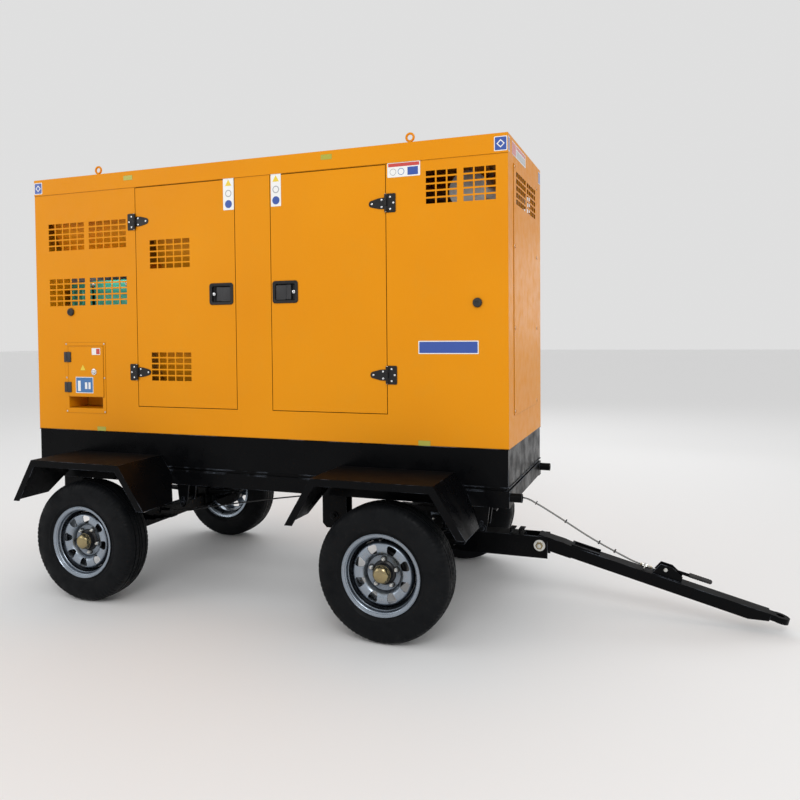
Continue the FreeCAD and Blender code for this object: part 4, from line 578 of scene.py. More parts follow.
# ---------------------------------------------------------------- tyres and wheels
def tyre_mesh():
    """Radial tyre about X at the origin: ribbed tread with shoulder blocks, rounded walls and bead rings."""
    w = TYRE_HALF / MM
    r = TYRE_RADIUS / MM
    half = [(0, r), (5, r), (6, r - 8), (13, r - 8), (14, r), (38, r - 0.6), (39, r - 8.4), (46, r - 8.6),
            (47, r - 1.4), (62, r - 3),
            (68, r - 5), (76, r - 9), (84, r - 15), (89, r - 23), (92, r - 32), (95, r - 44), (98, r - 60),
            (99.4, r - 76), (99.6, r - 92),
            (98, r - 106), (95.6, r - 118), (96.4, r - 121), (94, r - 124), (90, r - 133), (86, r - 139),
            (87, r - 142), (83, r - 146), (78, r - 151),
            (70, r - 158), (62, r - 160.4), (58, r - 158), (58, r - 150), (74, r - 120), (82, r - 90),
            (80, r - 50), (60, r - 24), (0, r - 22)]
    profile = half + [(-a, b) for a, b in reversed(half[1:-1])]
    profile = [(a * w / 100, b) for a, b in profile]
    blocks = 84
    segments = blocks * 4

    def warp(along, radius, angle):
        place = abs(along) / MM
        phase = (angle / math.tau * blocks) % 1
        cut = 1.0 if phase < 0.24 else 0.0
        if 60 < place < 93 and radius > (r - 34) * MM:
            radius -= 3.2 * MM * cut * min(1, (place - 58) / 12)
            along -= math.copysign(0.9 * MM * cut, along) if place > 80 else 0
        if 13.5 < place < 38.5 and radius > (r - 4) * MM and phase < 0.25:
            radius -= 2.2 * MM
        return along, radius
    shape = bmesh.new()
    lathe(shape, [(a * MM, b * MM) for a, b in profile], segments, True, warp)
    return from_bmesh("tyre_carcass", shape)


def window_cutter(angle):
    """A rounded trapezoid prism through the wheel disc at 127 mm radius."""
    corners = []
    for up, across in ((-25, 14.5), (23, 31), (23, -31), (-25, -14.5)):
        corners.append(Vector((across, up, 0)))
    outline = []
    for index, corner in enumerate(corners):
        before, after = corners[index - 1], corners[(index + 1) % 4]
        cut = 12 if index in (0, 3) else 22
        start = corner + (before - corner).normalized() * cut
        end = corner + (after - corner).normalized() * cut
        for step in range(6):
            t = step / 5
            outline.append(start * (1 - t) ** 2 + corner * 2 * t * (1 - t) + end * t ** 2)
    shape = bmesh.new()
    rings = []
    for along in (0.0, 80.0):
        ring = []
        for dot in outline:
            radial, across = dot.y + WINDOW_RADIUS, dot.x
            y = radial * math.cos(angle) - across * math.sin(angle)
            z = radial * math.sin(angle) + across * math.cos(angle)
            ring.append(shape.verts.new((along * MM, y * MM, z * MM)))
        rings.append(ring)
    count = len(outline)
    for index in range(count):
        after = (index + 1) % count
        shape.faces.new((rings[0][index], rings[0][after], rings[1][after], rings[1][index]))
    shape.faces.new(list(reversed(rings[0])))
    shape.faces.new(rings[1])
    return from_bmesh("window_cutter", shape)


def disc_mesh():
    """Pressed wheel disc: bolt flange, raised ring with eight windows, and the turned edge at the rim."""
    profile = [(26, 165), (32, 165.5), (44, 163), (56, 158), (62, 152), (64, 146), (64, 118), (60, 108),
               (50, 99), (38, 93), (31, 89), (29, 84), (29, 63),
               (25, 63), (25, 86), (28, 92), (36, 98), (46, 103), (55, 110), (59, 119), (59, 145),
               (57, 150), (52, 154), (42, 159), (32, 161.5), (26, 161)]
    shape = spun(profile, 128)
    disc = bpy.data.objects.new("disc_work", from_bmesh("wheel_disc", shape))
    bpy.context.scene.collection.objects.link(disc)
    for index in range(WINDOWS):
        cutter = bpy.data.objects.new(f"cutter_{index}", window_cutter(math.tau * (index + 0.5) / WINDOWS))
        bpy.context.scene.collection.objects.link(cutter)
        tool = disc.modifiers.new("window", "BOOLEAN")
        tool.operation = "DIFFERENCE"
        tool.solver = "EXACT"
        tool.object = cutter
    bpy.context.view_layer.update()
    mesh = bpy.data.meshes.new_from_object(disc.evaluated_get(bpy.context.evaluated_depsgraph_get()))
    for index in range(WINDOWS):
        bpy.data.objects.remove(bpy.data.objects[f"cutter_{index}"])
    bpy.data.objects.remove(disc)
    mesh.name = "wheel_disc"
    return mesh


def rim_mesh():
    """Rolled rim barrel with a drop centre and flanges."""
    profile = [(90, 204), (92.5, 206.5), (92, 208.2), (88, 208), (85.5, 204), (84, 196), (82, 191),
               (48, 188.6), (44, 187), (36, 176), (30, 171), (-34, 171),
               (-46, 187), (-50, 188.6), (-82, 191), (-84, 196), (-86, 205), (-90, 208), (-92.5, 206),
               (-90, 203), (-88, 196), (-86, 188), (-82, 186.4),
               (-52, 184.6), (-38, 168), (-32, 166), (28, 166), (33, 168), (40, 175), (48, 181), (55, 182),
               (59, 179.5), (63, 179.5), (66, 183), (72, 184.6), (80, 186), (84, 188.4), (85.6, 192),
               (88, 193), (89.4, 197)]
    shape = spun(profile, 128)
    return from_bmesh("wheel_rim", shape)


def hub_mesh():
    """Brake drum, hub flange and five nut seats."""
    profile = [(-58, 24), (-58, 100), (-54, 106), (-44, 108), (2, 108), (8, 104), (10, 96), (16, 92),
               (23, 90), (23, 64), (30, 62), (34, 58), (38, 50), (60, 47),
               (66, 46), (70, 43), (70, 24)]
    shape = spun(profile, 72)
    for index in range(STUDS):
        angle = math.tau * index / STUDS
        spot = Vector((31 * MM, STUD_RADIUS * math.cos(angle), STUD_RADIUS * math.sin(angle)))
        local = spun([(-4, 0.2), (-4, 15), (0, 15), (0, 0.2)], 20)
        join(shape, local, Matrix.Translation(spot))
    return from_bmesh("wheel_hub", shape)


def cap_mesh():
    """Pressed grease cap with a rolled foot and a stepped, softly domed end."""
    shape = bmesh.new()
    profile = [(62, 20), (62, 45), (64, 46.5), (67, 46), (68, 43), (72, 42.4), (84, 42), (88, 40.6),
               (90, 37.5), (94, 33), (97, 24), (98, 12), (98, 0.2), (90, 0.2)]

    def warp(along, radius, angle):
        if 71 * MM < along < 89 * MM:
            lean = (angle % math.radians(60)) - math.radians(30)
            radius *= 1 - 0.05 * (1 - math.cos(3 * lean) ** 2) * 1.6
        return along, radius
    lathe(shape, [(a * MM, b * MM) for a, b in profile], 72, True, warp)
    return from_bmesh("hub_cap", shape)


def nuts_mesh():
    """Five cone-seat nuts with stud ends."""
    shape = bmesh.new()
    for index in range(STUDS):
        angle = math.tau * index / STUDS
        spot = Vector((30 * MM, STUD_RADIUS * math.cos(angle), STUD_RADIUS * math.sin(angle)))
        hexagon(shape, spot, (1, 0, 0), 19 * MM, 14 * MM)
        stud = bmesh.new()
        thread = [(0, 0.2), (0, 5.6)]
        for turn in range(8):
            thread += [(15 + turn, 6.0), (15.5 + turn, 5.3)]
        thread += [(24, 5.0), (24.5, 0.2)]
        lathe(stud, [(a * MM, b * MM) for a, b in thread], 20)
        join(shape, stud, Matrix.Translation(spot))
    return from_bmesh("lug_nuts", shape)


def valve_mesh():
    """Rubber tyre valve."""
    shape = spun([(50, 0.2), (50, 6), (58, 5), (78, 4), (84, 4.6), (90, 4.2), (91, 0.2)], 20)
    bmesh.ops.transform(shape, matrix=Matrix.Translation((0, 176 * MM, 0)), verts=shape.verts)
    return from_bmesh("tyre_valve", shape)


def wheels():
    """Each wheel as its own tyre, disc, rim, hub, cap, nuts and valve."""
    kit = [("carcass", tyre_mesh(), "tyre", "tyre"), ("disc", disc_mesh(), "silver", "wheel_silver"),
           ("rim", rim_mesh(), "silver", "wheel_silver"),
           ("hub", hub_mesh(), "satin", "wheel_silver"), ("cap", cap_mesh(), "gold", "wheel_silver"),
           ("nuts", nuts_mesh(), "zinc", "wheel_silver"),
           ("valve", valve_mesh(), "rubber", "tyre")]
    for (end, side), centre in WHEELS.items():
        sign = SIDES[side]
        turn = Matrix.Rotation(math.radians(90 * sign), 4,
                               "Z") @ Matrix.Rotation(math.radians(90 if end == "front" else 62), 4, "X")
        for part, mesh, material, slot in kit:
            own = mesh.copy()
            own.name = f"{part}_{end}_{side}"
            own.transform(Matrix.Translation(centre) @ turn)
            piece = add(f"{part}_{end}_{side}", own, f"wheel_{end}_{side}", material)
            if part == "carcass":
                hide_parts(f"tyre_{end}_{side}")
            if part == "disc":
                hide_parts(f"wheel_{end}_{side}")


# ---------------------------------------------------------------- door latches, hinges and canopy fittings
def latch_mesh(centre, side):
    """Recessed paddle dish: rolled frame, sunken floor with a finger well, centred on a point of the door."""
    shape = bmesh.new()
    wide, tall = 75 * MM, 58 * MM

    def ring(half_wide, half_tall, corner, out):
        dots = []
        for cx, cz, start in ((half_wide - corner, half_tall - corner, 0),
                              (-half_wide + corner, half_tall - corner, 90),
                              (-half_wide + corner, -half_tall + corner, 180),
                              (half_wide - corner, -half_tall + corner, 270)):
            for step in range(7):
                angle = math.radians(start + 15 * step)
                dots.append(shape.verts.new((centre.x + cx + corner * math.cos(angle),
                                             centre.y + side * out,
                                             centre.z + cz + corner * math.sin(angle))))
        return dots
    rings = [ring(wide + inset * MM, tall + inset * MM, corner * MM, out * MM) for inset, corner, out in (
        (5, 17, 0.2), (5, 17, 2.2), (3.4, 16, 3.8), (-6, 12, 4.4), (-8, 11, 3.6), (-9, 10.5, 2.6),
        (-10.4, 10, 3.4), (-11.6, 9, 3.2),
        (-12.4, 9, 1.5), (-13.4, 8, -16), (-17, 5, -19))]
    bridge(shape, rings)
    shape.faces.new(rings[-1])
    return shape


def bolt_heads(name, spots, axis, across, thick, body, material):
    shape = bmesh.new()
    for spot in spots:
        washer = bmesh.new()
        lathe(washer, [(0, 0.1 * MM), (0, across * 0.98), (1.6 * MM, across * 0.98), (1.6 * MM, 0.1 * MM)],
              24)
        turn = facing(axis)
        join(shape, washer, Matrix.Translation(spot) @ turn)
        hexagon(shape, Vector(spot) + Vector(axis) * 1.6 * MM, axis, across, thick)
    return add(name, from_bmesh(name, shape), body, material)


def pan_screws(name, spots, axis, radius, body, material):
    """Low domed screw heads with a hexagon socket."""
    shape = bmesh.new()
    turn = facing(axis)
    profile = [(0, 0.05), (0, 1.0), (0.18, 1.0), (0.38, 0.86), (0.5, 0.62), (0.53, 0.44), (0.3, 0.40),
               (0.3, 0.05)]
    for spot in spots:
        head = bmesh.new()
        lathe(head, [(a * radius, b * radius) for a, b in profile], 24)
        join(shape, head, Matrix.Translation(spot) @ turn)
    return add(name, from_bmesh(name, shape), body, material)


def barrel_joint(shape, line, side, base, low, high):
    """One rolled hinge knuckle with softened ends, standing at the hinge line."""
    ring = bmesh.new()
    radius = 7 * MM
    lathe(ring, [(0, 0.1 * MM), (0, radius - 1 * MM), (1 * MM, radius), (high - low - 1 * MM, radius),
                 (high - low, radius - 1 * MM), (high - low, 0.1 * MM)], 28)
    turn = Matrix.Translation((line, side * (SKIN + 10 * MM),
                               base + low)) @ Matrix.Rotation(math.radians(-90), 4, "Y")
    join(shape, ring, turn)


def plate(shape, outline, side, near, far, bevel):
    """A flat plate against a side sheet from (x, z) points in metres, with its outer edge chamfered."""
    centre = Vector((sum(x for x, z in outline) / len(outline), sum(z for x, z in outline) / len(outline)))
    rings = []
    for out, shrink in ((near, 0.0), (far - bevel, 0.0), (far, bevel)):
        ring = []
        for x, z in outline:
            lean = Vector((x, z)) - centre
            lean = lean * (1 - shrink / max(lean.length, bevel))
            ring.append(shape.verts.new((centre.x + lean.x, side * (SKIN + out), centre.y + lean.y)))
        rings.append(ring)
    bridge(shape, rings)
    shape.faces.new(rings[0])
    shape.faces.new(rings[-1])


def arc(centre, radius, start, end, steps):
    """Points of an arc between two angles in degrees, both ends included."""
    angles = [math.radians(start + (end - start) * step / steps) for step in range(steps + 1)]
    return [(centre[0] + radius * math.cos(angle),
             centre[1] + radius * math.sin(angle)) for angle in angles]


def strap_hinge(end, side, level):
    """Strap hinge: a tapered tongue with three screws on the door and a leaf with three on the sheet."""
    sign = SIDES[side]
    inward = 1 if end == "rear" else -1
    line = low("fixed_hinge_leaves").x + 54 * MM if end == "rear" else high("fixed_hinge_leaves").x - 54 * MM
    base = DECK + level
    tag = f"{end}_{side}_{'low' if level < 0.8 else 'high'}"
    tongue = [(3, -13), (7, -27), (14, -30), (42, -28), (66, -22)] + arc((80, 0), 18, -66, 66, 12)
    tongue += [(66, 22), (42, 28), (14, 30), (7, 27), (3, 13)]
    shape = bmesh.new()
    plate(shape, [(line + inward * x * MM, base + z * MM) for x, z in tongue], sign, 0.2 * MM, 3.2 * MM,
          0.8 * MM)
    barrel_joint(shape, line, sign, base, -14.2 * MM, 14.2 * MM)
    block(shape, (line + min(0, inward * 9 * MM), sign * (SKIN + 1 * MM), base - 14 * MM),
          (line + max(0, inward * 9 * MM), sign * (SKIN + 8 * MM), base + 14 * MM), 1.5 * MM)
    add(f"strap_{tag}", from_bmesh("strap", shape), f"door_{end}_{side}", "satin")
    shape = bmesh.new()
    leaf = arc((48, 44), 6, 0, 90, 4) + [(4, 50), (4, -50)] + arc((48, -44), 6, -90, 0, 4)
    plate(shape, [(line - inward * x * MM, base + z * MM) for x, z in leaf], sign, 0.2 * MM, 3.2 * MM,
          0.8 * MM)
    for lowest, highest in ((-46, -15), (15, 46)):
        barrel_joint(shape, line, sign, base, lowest * MM, highest * MM)
        block(shape, (line + min(0, -inward * 9 * MM), sign * (SKIN + 1 * MM), base + lowest * MM),
              (line + max(0, -inward * 9 * MM), sign * (SKIN + 8 * MM), base + highest * MM), 1.5 * MM)
    leaf_piece = add(f"hinge_leaf_{tag}", from_bmesh("leaf", shape), "chassis", "satin")
    for tip in (-1, 1):
        turned(f"hinge_pin_{tag}_{'top' if tip > 0 else 'foot'}",
               [(-3, 0.1), (-3, 4), (0.6, 5.2), (2.2, 4.6), (3, 2.4), (3.1, 0.1)],
               Vector((line, sign * (SKIN + 10 * MM), base + tip * 46 * MM)), (0, 0, tip), "chassis",
               "zinc", 24)
    spots = [Vector((line + inward * x * MM, sign * (SKIN + 3 * MM), base + z * MM)) for x,
             z in ((24, 19), (24, -19), (80, 0))]
    pan_screws(f"strap_screws_{tag}", spots, (0, sign, 0), 6.2 * MM, f"door_{end}_{side}", "chrome")
    spots = [Vector((line - inward * x * MM, sign * (SKIN + 3 * MM), base + z * MM)) for x,
             z in ((24, 32), (42, 0), (24, -32))]
    pan_screws(f"leaf_screws_{tag}", spots, (0, sign, 0), 6.2 * MM, "chassis", "chrome")
    return leaf_piece


def doors():
    """Latch, paddle, lock, hinges and lining of each door."""
    first_leaf = None
    for end in ENDS:
        for side, sign in SIDES.items():
            inward = 1 if end == "rear" else -1
            body = f"door_{end}_{side}"
            paddle = f"latch_paddle_{end}_{side}"
            blade_low, blade_high = low(paddle), high(paddle)
            face = Vector((middle(paddle).x - inward * 14 * MM, sign * (SKIN + 0.4 * MM),
                           DECK + PADDLE_LEVEL))
            dish = add(f"latch_dish_{end}_{side}", from_bmesh("dish", latch_mesh(face, sign)), body,
                       "satin")
            shape = bmesh.new()
            block(shape, (blade_low.x, sign * (SKIN - 11 * MM), blade_low.z + 2 * MM),
                  (blade_high.x, sign * (SKIN - 5 * MM), blade_high.z - 6 * MM), 1.8 * MM, 3)
            grip_low, grip_high = (blade_low.x + 30 * MM,
                                   blade_high.x) if inward > 0 else (blade_low.x, blade_high.x - 30 * MM)
            block(shape, (grip_low, sign * (SKIN - 9 * MM), blade_low.z + 4 * MM),
                  (grip_high, sign * (SKIN - 1.5 * MM), blade_high.z - 8 * MM), 3 * MM, 3)
            block(shape, (grip_low + 2 * MM, sign * (SKIN - 8 * MM), blade_low.z),
                  (grip_high - 2 * MM, sign * (SKIN + 0.5 * MM), blade_low.z + 9 * MM), 2.6 * MM, 3)
            piece = add(f"paddle_blade_{end}_{side}", from_bmesh("blade", shape), f"paddle_{end}_{side}",
                        "plastic")
            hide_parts(paddle)
            lock_x = face.x - inward * 52 * MM
            turned(f"door_lock_{end}_{side}", [(-14, 0.1), (-14, 11), (-3, 11), (-0.5, 9.5), (0, 8.5),
                                               (0, 4.5), (-1.2, 4), (-1.2, 0.1)],
                   Vector((lock_x, sign * (SKIN - 1 * MM), face.z)), (0, sign, 0), body, "chrome",
                   40)
            slab(f"door_lock_slot_{end}_{side}", (lock_x - 1 * MM, sign * (SKIN - 2.4 * MM),
                                                  face.z - 3.6 * MM),
                 (lock_x + 1 * MM, sign * (SKIN - 1.6 * MM), face.z + 3.6 * MM), 0.3, body, "plastic")
            for level in HINGE_LEVELS:
                leaf = strap_hinge(end, side, level)
                first_leaf = first_leaf or leaf
            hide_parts(f"door_fittings_{end}_{side}")
            lining(end, side)
    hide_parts("fixed_hinge_leaves")


def lining(end, side):
    """Quilted sound foam inside a door, kept clear of its grilles, latch and turned edges."""
    sign = SIDES[side]
    inside = low(f"door_{end}_{side}"), high(f"door_{end}_{side}")
    x0, x1 = inside[0].x + 36 * MM, inside[1].x - 36 * MM
    z0, z1 = inside[0].z + 36 * MM, inside[1].z - 36 * MM
    dish = DECK + PADDLE_LEVEL
    if end == "rear":
        bands = [(DECK + 0.196, DECK + 0.306), (DECK + 0.516, dish - 0.08), (DECK + 1.20, z1)]
    else:
        bands = [(z0, dish - 0.08), (dish + 0.08, z1)]
    for index, (lowest, highest) in enumerate(bands):
        shape = bmesh.new()
        columns, rows = max(2, round((x1 - x0) / 0.07)), max(1, round((highest - lowest) / 0.07))
        wide, tall = (x1 - x0) / columns, (highest - lowest) / rows
        grid = {}
        steps = 6
        for u in range(columns * steps + 1):
            for v in range(rows * steps + 1):
                swell = abs(math.sin(math.pi * u / steps)) * abs(math.sin(math.pi * v / steps))
                depth = 8 * MM + 8 * MM * swell ** 0.6
                grid[u, v] = shape.verts.new((x0 + wide * u / steps, sign * (SKIN - 3.4 * MM - depth),
                                              lowest + tall * v / steps))
        for u in range(columns * steps):
            for v in range(rows * steps):
                shape.faces.new((grid[u, v], grid[u + 1, v], grid[u + 1, v + 1], grid[u, v + 1]))
        edge = [(u, 0) for u in range(columns * steps)] + [(columns * steps,
                                                            v) for v in range(rows * steps)]
        edge += [(u, rows * steps) for u in range(columns * steps, 0,
                                                  -1)] + [(0, v) for v in range(rows * steps, 0, -1)]
        back = {key: shape.verts.new((grid[key].co.x, sign * (SKIN - 3.4 * MM),
                                      grid[key].co.z)) for key in edge}
        for here, there in zip(edge, edge[1:] + edge[:1]):
            shape.faces.new((grid[here], grid[there], back[there], back[here]))
        shape.faces.new([back[key] for key in edge])
        add(f"door_foam_{end}_{side}_{index}", from_bmesh("foam", shape), f"door_{end}_{side}", "foam")


def lifting_eyes():
    """Forged eye bolts: shouldered foot and a round-section ring."""
    box_low, box_high = low("lifting_eyes"), high("lifting_eyes")
    tall = box_high.z - box_low.z
    for corner, x in (("rear", box_low.x + 27 * MM), ("front", box_high.x - 27 * MM)):
        for side, sign in SIDES.items():
            shape = spun([(0, 0.1), (0, 21), (4, 21), (7, 18), (9, 12), (20, 9), (22, 0.1)], 40)
            bmesh.ops.transform(shape, matrix=Matrix.Rotation(math.radians(-90), 4, "Y"), verts=shape.verts)
            ring_radius, bar = 20.4 * MM, 6.3 * MM
            torus = bmesh.new()
            rings = []
            for index in range(48):
                around = math.tau * index / 48
                ring = []
                for step in range(16):
                    turn = math.tau * step / 16
                    reach = ring_radius + bar * math.cos(turn)
                    ring.append(torus.verts.new((reach * math.cos(around), bar * math.sin(turn),
                                                 tall - 27 * MM + reach * math.sin(around))))
                rings.append(ring)
            for index in range(48):
                here, there = rings[index], rings[(index + 1) % 48]
                for step in range(16):
                    torus.faces.new((here[step], here[(step + 1) % 16], there[(step + 1) % 16],
                                     there[step]))
            join(shape, torus)
            spot = Vector((x, sign * (box_high.y - 27 * MM), box_low.z))
            bmesh.ops.transform(shape, matrix=Matrix.Translation(spot), verts=shape.verts)
            piece = add(f"eye_bolt_{corner}_{side}", from_bmesh("eye", shape), "chassis", "orange")
    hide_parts("lifting_eyes")


def buffers():
    """Ribbed rubber door stops on each sheet."""
    box_low, box_high = low("door_stop_buffers"), high("door_stop_buffers")
    z = (box_low.z + box_high.z) / 2
    radius = (box_high.z - box_low.z) / 2 / MM
    for end, x in (("rear", box_low.x + radius * MM), ("front", box_high.x - radius * MM)):
        for side, sign in SIDES.items():
            profile = [(0, 0.1), (0, radius * 0.72), (2, radius * 0.78), (3, radius), (6, radius),
                       (7, radius * 0.92), (9, radius * 0.97),
                       (13, radius * 0.92), (15.4, radius * 0.72), (15.8, radius * 0.4),
                       (13, radius * 0.34), (12.6, 0.1)]
            piece = turned(f"door_stop_{end}_{side}", profile, Vector((x, sign * SKIN, z)), (0, sign, 0),
                           "chassis", "rubber", 48)
    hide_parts("door_stop_buffers")


# ---------------------------------------------------------------- output box
def output_cabinet():
    """Screws, hinges, lock and lips of the output box."""
    frame_low, frame_high = low("output_box"), high("output_box")
    door_low, door_high = low("output_door"), high("output_door")
    face = -(SKIN + 2 * MM)
    spots = [Vector((x, face, z)) for x in (frame_low.x + 9 * MM, frame_high.x - 9 * MM)
             for z in (frame_low.z + 9 * MM, middle("output_box").z, frame_high.z - 9 * MM)]
    pan_screws("output_frame_screws", spots, (0, -1, 0), 5.5 * MM, "chassis", "zinc")
    pin_x = JOINTS["output_door_hinge"]["pos_m"][0]
    pin_y = JOINTS["output_door_hinge"]["pos_m"][1]
    for row, base in enumerate((241, 433)):
        base = DECK + base * MM
        shape = bmesh.new()
        block(shape, (pin_x + 1.5 * MM, pin_y - 2.2 * MM, base - 1 * MM),
              (pin_x + 32 * MM, pin_y + 4.6 * MM, base + 63 * MM), 2 * MM, 3)
        barrel = spun([(0, 0.1), (0, 4.6), (1, 5.4), (61, 5.4), (62, 4.6), (62, 0.1)], 28)
        join(shape, barrel,
             Matrix.Translation((pin_x, pin_y, base)) @ Matrix.Rotation(math.radians(-90), 4, "Y"))
        add(f"output_hinge_{row}", from_bmesh("output_hinge", shape), "output_door", "plastic")
        slab(f"output_hinge_foot_{row}", (pin_x - 24 * MM, -(SKIN + 6 * MM), base - 1 * MM),
             (pin_x - 6.5 * MM, -(SKIN + 1.8 * MM), base + 63 * MM), 1.6, "chassis",
             "plastic", 3)
    lock = middle("output_lock")
    outer = low("output_lock").y
    shape = spun([(0, 0.1), (0, 20), (2, 20), (3.2, 18.5), (3.4, 15), (7, 14), (8.2, 12.6), (8.4, 6),
                  (6.4, 5.4), (6.4, 0.1)], 56)
    place = Matrix.Translation((lock.x, outer + 8.5 * MM,
                                lock.z)) @ Matrix.Rotation(math.radians(-90), 4, "Z")
    bmesh.ops.transform(shape, matrix=place, verts=shape.verts)
    block(shape, (lock.x - 11 * MM, outer + 0.1 * MM, lock.z - 1.6 * MM),
          (lock.x + 11 * MM, outer + 4 * MM, lock.z + 1.6 * MM), 0.7 * MM)
    piece = build("output_lock_body", shape, "output_lock", "chrome")
    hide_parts("output_lock")
    lip = 3 * MM
    shape = bmesh.new()
    for start, end in (((door_low.x + 12 * MM, door_low.z + 1 * MM),
                        (door_low.x + 12 * MM + lip, door_high.z - 1 * MM)),
                        ((door_high.x - lip, door_low.z + 1 * MM), (door_high.x, door_high.z - 1 * MM)),
                       ((door_low.x + 12 * MM, door_high.z - lip - 1 * MM),
                        (door_high.x, door_high.z - 1 * MM)),
                        ((door_low.x + 12 * MM, door_low.z + 1 * MM),
                         (door_high.x, door_low.z + lip + 1 * MM))):
        block(shape, (start[0], -(SKIN + 5.6 * MM), start[1]), (end[0], -(SKIN + 4.2 * MM), end[1]),
              0.6 * MM)
    build("output_door_edge", shape, "output_door", "orange")


# ---------------------------------------------------------------- blank labels
def rounded(x0, x1, z0, z1, corner):
    """Outline of a rounded rectangle in metres from canopy millimetres."""
    r = corner
    dots = []
    for cx, cz, start in ((x1 - r, z1 - r, 0), (x0 + r, z1 - r, 90), (x0 + r, z0 + r, 180),
                          (x1 - r, z0 + r, 270)):
        dots += arc((cx, cz), r, start, start + 90, 4)
    return [(FRONT + x * MM, DECK + z * MM) for x, z in dots]


def film(name, outline, material, side=-1, out=0.4, body="chassis"):
    """A thin blank film on a side sheet, from (x, z) points in metres."""
    shape = bmesh.new()
    front = [shape.verts.new((x, side * (SKIN + (out + 0.25) * MM), z)) for x, z in outline]
    back = [shape.verts.new((x, side * (SKIN + out * MM), z)) for x, z in outline]
    shape.faces.new(front)
    shape.faces.new(list(reversed(back)))
    for index in range(len(outline)):
        after = (index + 1) % len(outline)
        shape.faces.new((front[index], back[index], back[after], front[after]))
    return add(name, from_bmesh(name, shape), body, material, smooth=False)


def disc_film(name, x, z, radius, material, side, out, body="chassis", sides=28, turn=0):
    return film(name, [(FRONT + (x + radius * math.cos(math.tau * i / sides + turn)) * MM,
                        DECK + (z + radius * math.sin(math.tau * i / sides + turn)) * MM)
                       for i in range(sides)], material, side, out, body)


def fascia_film(name, edges, material, out):
    """A blank film on the roof's front fascia, from canopy millimetres."""
    y0, y1, z0, z1 = edges
    x = high("canopy_roof").x
    slab(f"fascia_{name}", (x + out * MM, y0 * MM, DECK + z0 * MM),
         (x + (out + 0.3) * MM, y1 * MM, DECK + z1 * MM), 0.1, "chassis", material, 1)


